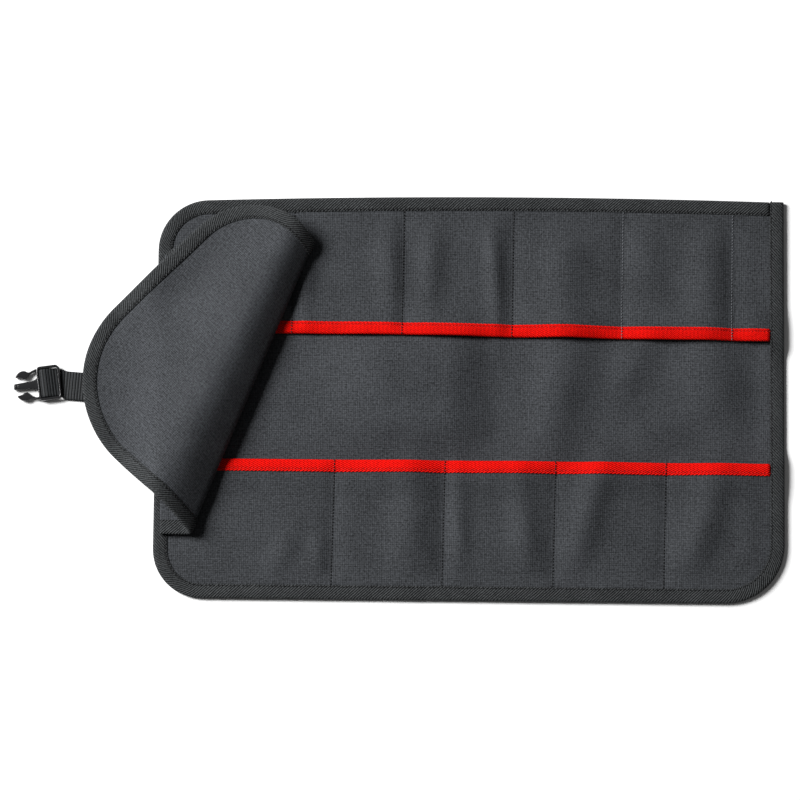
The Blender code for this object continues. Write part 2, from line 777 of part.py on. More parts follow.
def outline_curve(name, loops, height):
    """A flat outline, with any holes, as a filled curve that is height thick."""
    data = bpy.data.curves.new(name, "CURVE")
    data.dimensions = "2D"
    data.fill_mode = "BOTH"
    data.extrude = height / 2
    for loop in loops:
        spline = data.splines.new("POLY")
        spline.points.add(len(loop) - 1)
        spline.use_cyclic_u = True
        for point, (x, y) in zip(spline.points, loop):
            point.co = (x, y, 0, 1)
    return bpy.data.objects.new(name, data)


def add_outline(name, loops, height, finish):
    obj = outline_curve(name, loops, height)
    bpy.data.collections["tool_roll"].objects.link(obj)
    obj.data.materials.append(finish)
    return obj


def strap_route():
    """Side view of the strap, from its sewn end to the buckle's bar and back, X from the panel's edge."""
    lane = WEBBING_WALL / 2
    upper = 3 * lane + CLEARANCE
    reach = BUCKLE_REACH - PLUG_LENGTH
    bar = reach + PLUG_FRAME_LENGTH * PLUG_BAR_PLACE
    skew = WEBBING_WIDTH / 2 * math.sin(BUCKLE_TURN)
    bar_half = PLUG_BAR / 2 + 2 * CLEARANCE + lane + skew
    crest = PLUG_HEIGHT - WEBBING_WALL * 0.1
    return (
        (STRAP_SEWN, lane),
        (-STRAP_TAIL_GAP * 0.6, lane),
        (-STRAP_TAIL_GAP, upper),
        (-reach - PLUG_BAR, upper),
        (-bar + bar_half * 1.15, upper + STRAP_CREST),
        (-bar + bar_half * 0.75, crest),
        (-bar, crest + lane),
        (-bar - bar_half * 0.75, crest),
        (-bar - bar_half, upper),
        (-bar - bar_half * 0.6, lane),
        (-STRAP_TAIL_GAP - WEBBING_WALL * 2, lane),
    )


def stand_on_side(obj):
    """Turns an outline drawn in side view so that it runs across Y."""
    obj.rotation_euler = (math.pi / 2, 0, 0)
    return obj


def make_strap(group, finish):
    strap = add_outline("strap", [ribbon(strap_route(), WEBBING_WALL)], WEBBING_WIDTH, finish)
    stand_on_side(strap)
    strap.parent = group
    return strap


def plug_outline():
    """Plan of the plug, X from its frame's rear end, without its slots."""
    front, tip = -PLUG_FRAME_LENGTH, -PLUG_LENGTH
    half, chamfer = PLUG_WIDTH / 2, PLUG_WALL / 2
    arm, head = PRONG_ARM / 2, PRONG_HEAD_WIDTH / 2
    head_tip = tip + PRONG_HEAD_SET_BACK
    head_back = head_tip + PRONG_HEAD_LENGTH
    frame = [(0.0, half - chamfer), (-chamfer, half), (front + chamfer, half), (front, half - chamfer)]
    side_prong = [(front, PRONG_SPREAD + PRONG_ROOT * arm), (head_back, PRONG_SPREAD + arm)]
    for row in PRONG_HEAD:
        side_prong.append((head_tip + PRONG_HEAD_LENGTH * row.back, PRONG_SPREAD + head * row.out))
    side_prong += [(head_back, PRONG_SPREAD - arm), (front, PRONG_SPREAD - PRONG_ROOT * arm)]
    prong = PRONG_WIDTH / 2
    middle_prong = [(front, prong + arm), (front - arm, prong)]
    middle_prong += [(tip + prong * row.back, prong * row.out) for row in PRONG_TIP]
    upper = frame + side_prong + middle_prong
    return upper + [(x, -y) for x, y in upper[::-1]]


def plug_slots():
    """The two slots beside the bar that the webbing goes round."""
    inner = WEBBING_WIDTH / 2 + WEBBING_PLAY
    middle = -PLUG_FRAME_LENGTH * PLUG_BAR_PLACE
    rear_edge, front_edge = -PLUG_BAR * REAR_BAR, -PLUG_FRAME_LENGTH + PLUG_BAR * FRONT_BAR
    slots = []
    for start, end in ((rear_edge, middle + PLUG_BAR / 2), (middle - PLUG_BAR / 2, front_edge)):
        slots.append([(start, -inner), (start, inner), (end, inner), (end, -inner)])
    return slots


def make_mesh(obj, name):
    """Turns a filled curve into a closed mesh."""
    bpy.context.view_layer.update()
    graph = bpy.context.evaluated_depsgraph_get()
    mesh = bpy.data.meshes.new_from_object(obj.evaluated_get(graph))
    weld(mesh)
    made = bpy.data.objects.new(name, mesh)
    made.matrix_world = obj.matrix_world.copy()
    bpy.data.objects.remove(obj)
    return made


def weld(mesh):
    work = bmesh.new()
    work.from_mesh(mesh)
    bmesh.ops.remove_doubles(work, verts=work.verts, dist=WELD_GAP)
    work.to_mesh(mesh)
    work.free()


def box(name, low, high, collection):
    """A box between two corners, in the given collection."""
    bpy.ops.mesh.primitive_cube_add(size=1)
    obj = bpy.context.active_object
    obj.name = name
    low, high = np.array(low), np.array(high)
    for vertex in obj.data.vertices:
        vertex.co = (low + high) / 2 + np.array(vertex.co) * (high - low)
    for held in list(obj.users_collection):
        held.objects.unlink(obj)
    bpy.data.collections[collection].objects.link(obj)
    return obj


def cut(obj, tool, operation="DIFFERENCE"):
    boolean = obj.modifiers.new(tool.name, "BOOLEAN")
    boolean.operation = operation
    boolean.object = tool
    tool.hide_render = True
    tool.display_type = "WIRE"


def make_plug(group, finish):
    """The plug lies flat. Its bars are thinner than its frame, so that the webbing passes round them."""
    curve = outline_curve("plug_outline", [plug_outline(), *plug_slots()], PLUG_HEIGHT)
    bpy.context.scene.collection.objects.link(curve)
    plug = make_mesh(curve, "buckle_plug")
    bpy.data.collections["tool_roll"].objects.link(plug)
    plug.data.materials.append(finish)
    inner = WEBBING_WIDTH / 2 + WEBBING_PLAY
    under = 2 * WEBBING_WALL + 3 * CLEARANCE
    half = PLUG_HEIGHT / 2
    spare = PLUG_HEIGHT
    middle = -PLUG_FRAME_LENGTH * PLUG_BAR_PLACE
    prong_skin = (PLUG_HEIGHT - PRONG_WALL) / 2
    cuts = {
        "under_rear_bar": ((-PLUG_BAR, -inner, -half - spare), (spare, inner, -half + under)),
        "under_centre_bar": (
            (middle - PLUG_BAR, -inner, -half - spare),
            (middle + PLUG_BAR, inner, -half + WEBBING_WALL + 2 * CLEARANCE),
        ),
        "over_centre_bar": (
            (middle - PLUG_BAR, -inner, half - WEBBING_WALL - CLEARANCE),
            (middle + PLUG_BAR, inner, half + spare),
        ),
        "under_prongs": (
            (-PLUG_LENGTH - spare, -PLUG_WIDTH, -half - spare),
            (-PLUG_FRAME_LENGTH - PLUG_REST, PLUG_WIDTH, -half + prong_skin),
        ),
        "over_prongs": (
            (-PLUG_LENGTH - spare, -PLUG_WIDTH, half - prong_skin),
            (-PLUG_FRAME_LENGTH - PLUG_REST, PLUG_WIDTH, half + spare),
        ),
    }
    for name, (low, high) in cuts.items():
        tool = box(name, low, high, "cutters")
        tool.parent = plug
        cut(plug, tool)
    plug.parent = group
    plug.location = (PLUG_LENGTH - BUCKLE_REACH, 0, PLUG_HEIGHT / 2 + PLUG_REST)
    plug.rotation_euler = (0, 0, BUCKLE_TURN)
    return plug


def make_socket(finish):
    """The plain female half, lying mouth to the right under the panel."""
    mouth = LEFT + SOCKET_REACH
    rear = mouth - SOCKET_LENGTH
    half = SOCKET_WIDTH / 2
    low_y, high_y = SOCKET_OFFSET - half, SOCKET_OFFSET + half
    socket = box("buckle_socket", (rear, low_y, 0), (mouth, high_y, SOCKET_HEIGHT), "tool_roll")
    socket.data.materials.append(finish)
    spare = SOCKET_HEIGHT
    hollow = box(
        "socket_hollow",
        (mouth - SOCKET_DEPTH, low_y + SOCKET_SIDE, SOCKET_FLOOR),
        (mouth + spare, high_y - SOCKET_SIDE, SOCKET_HEIGHT - SOCKET_FLOOR),
        "cutters",
    )
    cut(socket, hollow)
    inner = WEBBING_WIDTH / 2 + WEBBING_PLAY
    slot = box(
        "tab_slot",
        (rear + SOCKET_BAR, SOCKET_OFFSET - inner, -spare),
        (mouth - SOCKET_DEPTH - SOCKET_BAR * SOCKET_SLOT_END, SOCKET_OFFSET + inner, 2 * spare),
        "cutters",
    )
    cut(socket, slot)
    bar_low = WEBBING_WALL + 2 * CLEARANCE
    for name, low, high in (
        ("under_tab_bar", -spare, bar_low),
        ("over_tab_bar", bar_low + SOCKET_BAR, 2 * spare),
    ):
        tool = box(
            name,
            (rear - spare, SOCKET_OFFSET - inner, low),
            (rear + SOCKET_BAR * 1.1, SOCKET_OFFSET + inner, high),
            "cutters",
        )
        cut(socket, tool)
    return socket


def make_tab(finish):
    """Webbing that holds the socket: round its bar and back, sewn under the panel."""
    lane = WEBBING_WALL / 2
    rear = LEFT + SOCKET_REACH - SOCKET_LENGTH
    bar_low = WEBBING_WALL + 2 * CLEARANCE
    top = bar_low + SOCKET_BAR + 2.5 * CLEARANCE + lane
    end = rear - TAB_LENGTH
    beyond = rear + SOCKET_BAR + CLEARANCE + lane
    upper = 3 * lane + CLEARANCE
    route = (
        (end, lane),
        (rear + SOCKET_BAR * 0.9, lane),
        (beyond, 2 * lane + CLEARANCE * 2),
        (beyond, top - lane),
        (rear + SOCKET_BAR * 0.8, top),
        (rear + SOCKET_BAR * 0.1, top),
        (rear - SOCKET_BAR * 1.6, upper + lane),
        (rear - SOCKET_BAR * 3.0, upper),
        (end, upper),
    )
    tab = add_outline("socket_tab", [ribbon(route, WEBBING_WALL)], WEBBING_WIDTH, finish)
    stand_on_side(tab)
    tab.location = (0, SOCKET_OFFSET, 0)
    return tab


def clear_scene():
    for obj in list(bpy.data.objects):
        bpy.data.objects.remove(obj)
    for name in ("tool_roll", "cutters"):
        made = bpy.data.collections.new(name)
        bpy.context.scene.collection.children.link(made)


def main():
    clear_scene()
    cloth = material("coated_cloth", (0.052, 0.056, 0.062), 0.75)
    black_tape = material("black_tape", (0.040, 0.041, 0.043), 0.7)
    red_tape = material("red_tape", (0.72, 0.012, 0.006), 0.6)
    webbing = material("black_webbing", (0.024, 0.026, 0.028), 0.6)
    plastic = material("black_plastic", (0.012, 0.012, 0.013), 0.3)

    make_panel(cloth)
    make_pocket_row("pocket_row_upper", True, cloth)
    make_pocket_row("pocket_row_lower", False, cloth)
    make_mouth_tape("mouth_tape_upper", True, red_tape)
    make_mouth_tape("mouth_tape_lower", False, red_tape)
    make_edge_tape(black_tape)
    make_flap(cloth)
    make_flap_tape(black_tape)

    group = bpy.data.objects.new("strap_group", None)
    bpy.data.collections["tool_roll"].objects.link(group)
    group.location = (LEFT, STRAP_OFFSET, 0)
    group.rotation_euler = (0, 0, STRAP_TURN)
    make_strap(group, webbing)
    make_plug(group, plastic)
    make_socket(plastic)
    make_tab(webbing)


main()
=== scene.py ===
"""Looks of the tool roll laid open: cloth, bound edges, stitches, webbing and buckle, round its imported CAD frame.

Metres, +Z up. The roll lies on Z = 0 with the middle of its whole box at X = Y = 0 and its buckle towards -X.
"""

import logging
import math
from dataclasses import dataclass, field
from enum import Enum
from typing import Any, Iterable, NamedTuple, Sequence

import bpy
import numpy as np
from mathutils import Matrix


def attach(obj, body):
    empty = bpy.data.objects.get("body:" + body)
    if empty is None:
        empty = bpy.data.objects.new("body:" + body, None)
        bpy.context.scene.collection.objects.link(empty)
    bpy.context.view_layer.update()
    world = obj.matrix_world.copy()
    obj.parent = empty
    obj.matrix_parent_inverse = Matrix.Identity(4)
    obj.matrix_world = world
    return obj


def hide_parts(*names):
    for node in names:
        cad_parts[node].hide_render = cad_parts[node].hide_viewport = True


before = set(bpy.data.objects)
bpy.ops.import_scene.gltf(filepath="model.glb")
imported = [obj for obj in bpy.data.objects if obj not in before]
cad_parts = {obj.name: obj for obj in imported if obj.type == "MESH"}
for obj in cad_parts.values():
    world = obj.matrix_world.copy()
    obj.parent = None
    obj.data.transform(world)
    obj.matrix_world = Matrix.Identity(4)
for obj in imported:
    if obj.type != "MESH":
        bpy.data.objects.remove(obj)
LOG = logging.getLogger("tool_roll")


def ease(value: Any) -> np.ndarray:
    """Eases 0 to 1 over 0 to 1 and holds the ends.

    Args:
        value: Shares to ease.

    Returns:
        The eased shares.
    """
    held = np.clip(value, 0.0, 1.0)
    return held * held * (3 - 2 * held)


def unit(vectors: np.ndarray) -> np.ndarray:
    """Returns the vectors at length 1, along the last axis."""
    return vectors / np.maximum(np.linalg.norm(vectors, axis=-1, keepdims=True), 1e-12)


def run_lengths(points: np.ndarray) -> np.ndarray:
    """Measures a path.

    Args:
        points: Points of the path, one row each.

    Returns:
        The length of the path up to each point.
    """
    steps = np.linalg.norm(np.diff(points, axis=0), axis=1)
    return np.concatenate([[0.0], np.cumsum(steps)])


def evenly(points: np.ndarray, count: int) -> np.ndarray:
    """Picks count evenly spaced points of a path, with both ends kept."""
    lengths = run_lengths(points)
    at = np.linspace(0.0, lengths[-1], count)
    return np.stack([np.interp(at, lengths, points[:, i]) for i in range(points.shape[1])], axis=1)


def respace(points: np.ndarray, spacing: float) -> np.ndarray:
    """Spaces a path's points evenly.

    Args:
        points: Points of the path.
        spacing: About how far apart the new points are.

    Returns:
        The evenly spaced points, with both ends kept.
    """
    return evenly(points, max(int(round(run_lengths(points)[-1] / spacing)), 1) + 1)


def inward(points: np.ndarray) -> np.ndarray:
    """Finds the way to the right of a flat path.

    Args:
        points: Flat points of the path.

    Returns:
        One unit vector for each point, to the right of the path's way.
    """
    along = unit(np.gradient(points, axis=0))
    return np.stack([along[:, 1], -along[:, 0]], axis=1)


def between(low: np.ndarray, high: np.ndarray, rows: int) -> np.ndarray:
    """Fills the space between two chains with rows of evenly spaced flat points."""
    share = np.linspace(0, 1, rows)[None, :, None]
    return low[:, None, :] * (1 - share) + high[:, None, :] * share


def upright(points: np.ndarray) -> np.ndarray:
    """Returns normals straight up, one for each point."""
    normal = np.zeros_like(points)
    normal[..., 2] = 1
    return normal


class Row(Enum):
    """A row of pockets, by the side of the panel that it lies on."""

    UPPER = 1
    LOWER = -1


class Swell(NamedTuple):
    """A rise in the cloth: place and reach as shares of the panel, turn in degrees and height in millimetres."""

    across: float
    up: float
    length: float
    width: float
    turn: float
    height: float


@dataclass(frozen=True)
class RollSizes:
    """Main sizes of the roll. Most are the CAD source's, and some follow the photograph more closely."""

    length: float = 0.550
    width: float = 0.351
    corner: float = 0.043
    corner_right: float = 0.052
    bow: float = 0.0045
    top_rise: float = 0.0047
    cloth: float = 0.0012
    pocket_cloth: float = 0.0010
    play: float = 0.0004
    tape: float = 0.0010
    tape_shown: float = 0.0125
    mouth_shown: float = 0.0110
    band: float = 0.110
    mouth_slant: float = 0.0040
    pitch: float = 0.0964
    upper_last: float = 0.0463
    lower_last: float = 0.1037
    mouth_gape: float = 0.0026
    mouth_ease: float = 0.026
    buckle_reach: float = 0.1225
    fold_reach: float = 0.0815
    webbing: float = 0.025
    webbing_wall: float = 0.0012
    strap_offset: float = 0.0026
    strap_turn: float = math.radians(-4.2)
    strap_sewn: float = 0.032
    socket_reach: float = 0.246
    socket_length: float = 0.032
    socket_width: float = 0.034
    socket_height: float = 0.0090
    socket_offset: float = 0.008
    socket_bar: float = 0.0030
    tab_length: float = 0.044
    tent_margin: float = 0.0075
    tent_rear_ramp: float = 1.9
    tent_front_ramp: float = 1.5
    tent_side_ramp: float = 1.3
    least_pocket: float = 0.8
    shut_reach: float = 1.9
    stack_step: float = 1.4

    @property
    def left(self) -> float:
        """X of the panel's left side."""
        return (self.buckle_reach - self.length) / 2

    @property
    def right(self) -> float:
        """X of the panel's right side."""
        return self.left + self.length

    @property
    def bottom(self) -> float:
        """Y of the panel's lower side."""
        return -(self.width + self.bow) / 2

    @property
    def top(self) -> float:
        """Y of the ends of the panel's upper side."""
        return self.bottom + self.width

    @property
    def inset(self) -> float:
        """How far the cloth's cut edge lies inside its tape."""
        return self.tape + self.play

    @property
    def tape_skin(self) -> float:
        """How far a tape's outer skin stands off the cloth in it."""
        return self.play * 0.4 + self.tape


@dataclass(frozen=True)
class Ground:
    """Heights of the panel's and the pockets' cloth, for arrays of places."""

    sizes: RollSizes = field(default_factory=RollSizes)
    seam_dip: float = 0.0017
    seam_reach: float = 0.0075
    seam_slant_upper: float = 0.0014
    seam_slant_lower: float = -0.0022
    seam_roundness: float = 1.5
    puff_start: float = 0.010
    puff_ease: float = 0.020
    puff_depth: float = 0.010
    swell_at_edge: float = 0.12
    swell_edge: float = 0.045
    swell_start: float = 0.2
    swell_scale: float = 1.75
    swells: tuple[Swell, ...] = (
        Swell(0.231, 0.33, 0.016, 0.16, 3.0, 1.6),
        Swell(0.373, 0.34, 0.024, 0.17, 2.0, 2.6),
        Swell(0.436, 0.34, 0.020, 0.15, -3.0, 2.0),
        Swell(0.537, 0.34, 0.013, 0.16, 3.0, 2.2),
        Swell(0.648, 0.32, 0.038, 0.17, -3.0, 3.0),
        Swell(0.780, 0.36, 0.030, 0.12, 4.0, 1.6),
        Swell(0.877, 0.33, 0.032, 0.17, 2.0, 2.8),
        Swell(0.200, -0.41, 0.018, 0.08, -24.0, 1.6),
        Swell(0.262, -0.42, 0.014, 0.07, 3.0, 1.4),
        Swell(0.408, -0.32, 0.032, 0.18, 0.0, 3.0),
        Swell(0.483, -0.31, 0.016, 0.16, 2.0, 1.8),
        Swell(0.588, -0.33, 0.022, 0.15, 5.0, 2.4),
        Swell(0.690, -0.28, 0.024, 0.15, -14.0, 2.8),
        Swell(0.868, -0.33, 0.028, 0.17, -16.0, 2.8),
        Swell(0.950, -0.36, 0.020, 0.14, 4.0, 1.4),
        Swell(0.640, 0.01, 0.044, 0.16, -14.0, 4.4),
        Swell(0.760, 0.09, 0.030, 0.10, -30.0, 1.8),
        Swell(0.890, 0.06, 0.052, 0.12, 8.0, 3.2),
        Swell(0.800, -0.08, 0.060, 0.05, 20.0, 1.6),
    )

    def bow(self, x: np.ndarray) -> np.ndarray:
        """How far the top edge stands out at x."""
        share = (x - self.sizes.left) / self.sizes.length
        return self.sizes.bow * 4 * share * (1 - share) + self.sizes.top_rise * share

    def top_edge(self, x: float) -> float:
        """Y of the panel's upper side at x."""
        return self.sizes.top + float(self.bow(np.array(x)))

    def edge_distance(self, x: np.ndarray, y: np.ndarray) -> np.ndarray:
        """Measures in from the panel's nearest side, with three round corners.

        Args:
            x: Places along the panel.
            y: Places across it.

        Returns:
            The distances.
        """
        s = self.sizes
        top = s.top + self.bow(x)
        nearest = np.minimum(np.minimum(x - s.left, s.right - x), np.minimum(y - s.bottom, top - y))
        radius = np.where((y < 0) & (x > 0), s.corner_right, s.corner)
        right_round = np.where(y < 0, s.right - s.corner_right, s.right)
        into_x = np.maximum(s.left + s.corner - x, x - right_round)
        into_y = np.maximum(s.bottom + radius - y, y - top + s.corner)
        rounded = radius - np.hypot(into_x, into_y)
        return np.where((into_x > 0) & (into_y > 0), rounded, nearest)

    def tent(self, x: np.ndarray, y: np.ndarray) -> np.ndarray:
        """How far the hidden socket and its tab hold the panel up, 0 to 1."""
        s = self.sizes
        mouth = s.left + s.socket_reach
        ramp, right_ramp = s.tab_length * s.tent_rear_ramp, s.socket_length * s.tent_front_ramp
        side_ramp = s.socket_width * s.tent_side_ramp
        left_full = mouth - s.socket_length - s.tent_margin
        across = ease((x - left_full + ramp) / ramp) * ease((mouth + s.tent_margin + right_ramp - x) / right_ramp)
        side_full = s.socket_width / 2 + s.tent_margin
        return across * ease((side_full + side_ramp - np.abs(y - s.socket_offset)) / side_ramp)

    def strap_lift(self, x: np.ndarray, y: np.ndarray) -> np.ndarray:
        """How far the sewn end of the strap holds the panel's edge up, 0 to 1."""
        s = self.sizes
        along = ease((s.left + 2 * s.strap_sewn - x) / s.strap_sewn)
        return along * ease((2 * s.webbing - np.abs(y - s.strap_offset)) / s.webbing)

    def rises(self, x: np.ndarray, y: np.ndarray, rows: tuple[Swell, ...]) -> np.ndarray:
        """Sums the heights of rises.

        Args:
            x: Places along the panel.
            y: Places across it.
            rows: The rises.

        Returns:
            The heights.
        """
        s = self.sizes
        total = np.zeros(np.broadcast(x, y).shape)
        for row in rows:
            dx = x - s.left - row.across * s.length
            dy = y - row.up * s.width
            turn = math.radians(row.turn)
            along = (dx * math.cos(turn) + dy * math.sin(turn)) / (row.length * s.length)
            side = (dy * math.cos(turn) - dx * math.sin(turn)) / (row.width * s.width)
            total = total + row.height / 1000 * np.exp(-along * along - side * side)
        return total

    def swell(self, x: np.ndarray, y: np.ndarray) -> np.ndarray:
        """Returns the heights of the cloth's own rises, flattened towards the bound edges."""
        total = self.rises(x, y, self.swells) * self.swell_scale
        inside = ease(self.edge_distance(x, y) / self.swell_edge - self.swell_start)
        return total * (self.swell_at_edge + (1 - self.swell_at_edge) * inside)

    def panel(self, x: np.ndarray, y: np.ndarray) -> np.ndarray:
        """Finds the height of the middle of the panel's cloth.

        Args:
            x: Places along the panel.
            y: Places across it.

        Returns:
            The heights.
        """
        s = self.sizes
        lift = s.tape + s.play
        beside = s.tape_shown + 2 * s.play
        edge = lift * (1 - ease((self.edge_distance(x, y) - beside) / s.tape_shown))
        tent = self.tent(x, y)
        over_socket = (s.socket_height + s.play) * tent
        held = np.maximum(over_socket, (s.webbing_wall + s.play) * self.strap_lift(x, y))
        return s.cloth / 2 + edge + held + self.swell(x, y) * (1 - ease(tent))

    def mouth(self, x: np.ndarray, row: Row) -> np.ndarray:
        """Y of a row's mouth, at the tape's outer face."""
        s = self.sizes
        if row is Row.UPPER:
            return s.band / 2 - s.mouth_slant * ((x - s.left) / s.length - 0.5)
        return -s.band / 2 + 0.0 * x

    def seams(self, row: Row) -> list[float]:
        """Lists the X of each seam at a row's mouths.

        Args:
            row: The row of pockets.

        Returns:
            The places from right to left, with the bound edges as first and last.
        """
        s = self.sizes
        place = s.right - (s.upper_last if row is Row.UPPER else s.lower_last)
        places = [s.right]
        while place > s.left + s.least_pocket * s.pitch:
            places.append(place)
            place -= s.pitch
        return [*places, s.left]

    def seam_shift(self, depth: np.ndarray, row: Row) -> np.ndarray:
        """How far a seam has wandered along X at a depth under its mouth."""
        slant = self.seam_slant_upper if row is Row.UPPER else self.seam_slant_lower
        return slant * depth / (self.sizes.width / 3)

    def depth(self, x: np.ndarray, y: np.ndarray, row: Row) -> np.ndarray:
        """How far a place lies inside a row's pockets."""
        return (y - self.mouth(x, row)) * row.value

    def gape(self, x: np.ndarray, row: Row) -> np.ndarray:
        """How open a mouth stands, 0 at the seams and under the flap.

        Args:
            x: Places along the mouth.
            row: The row of pockets.

        Returns:
            The openness, 0 to 1.
        """
        s = self.sizes
        places = np.array(self.seams(row)[::-1])
        index = np.clip(np.searchsorted(places, x) - 1, 0, len(places) - 2)
        share = (x - places[index]) / (places[index + 1] - places[index])
        wave = np.sin(np.pi * np.clip(share, 0, 1)) ** 2
        return wave * ease((x - s.left - s.shut_reach * s.fold_reach) / (s.fold_reach / 2))

    def seam_pull(self, x: np.ndarray, y: np.ndarray, row: Row) -> np.ndarray:
        """How far the cloth stands up from its seams: 0 on a seam, 1 between seams."""
        shifted = x - self.seam_shift(self.depth(x, y, row), row)
        places = np.array(self.seams(row)[1:-1])
        away = np.min(np.abs(shifted[..., None] - places), axis=-1)
        return 1 - np.exp(-((away / self.seam_reach) ** self.seam_roundness))

    def pocket(self, x: np.ndarray, y: np.ndarray, row: Row) -> np.ndarray:
        """Finds the height of the middle of a pocket row's cloth. Past its mouth it runs down to the panel.

        Args:
            x: Places along the row.
            y: Places across it.
            row: The row of pockets.

        Returns:
            The heights.
        """
        s = self.sizes
        depth = self.depth(x, y, row)
        inside = 1 - ease((depth - s.mouth_shown - 2 * s.play) / s.mouth_ease)
        near = np.where(depth > 0, inside, 1 - ease(-depth / s.tape_shown))
        over = s.cloth / 2 + s.play + s.pocket_cloth / 2
        rise = s.tape + 2 * s.play + s.mouth_gape * self.gape(x, row)
        inward_ease = ease((self.edge_distance(x, y) - self.puff_start) / self.puff_ease)
        puff = self.seam_dip * self.seam_pull(x, y, row) * inward_ease
        return self.panel(x, y) + over + near * rise + puff * ease(depth / self.puff_depth)

    def stack(self, x: np.ndarray, y: np.ndarray) -> np.ndarray:
        """Finds how thick what lies on the middle of the panel's cloth is, under the edge tape.

        Args:
            x: Places along the panel.
            y: Places across it.

        Returns:
            The thicknesses.
        """
        s = self.sizes
        upper = y > 0
        depth = np.where(upper, self.depth(x, y, Row.UPPER), self.depth(x, y, Row.LOWER))
        cloth = np.where(upper, self.pocket(x, y, Row.UPPER), self.pocket(x, y, Row.LOWER))
        bare = s.cloth / 2
        full = cloth - self.panel(x, y) + s.pocket_cloth / 2
        return bare + (full - bare) * ease((depth + s.stack_step * s.tape_shown) / s.tape_shown)


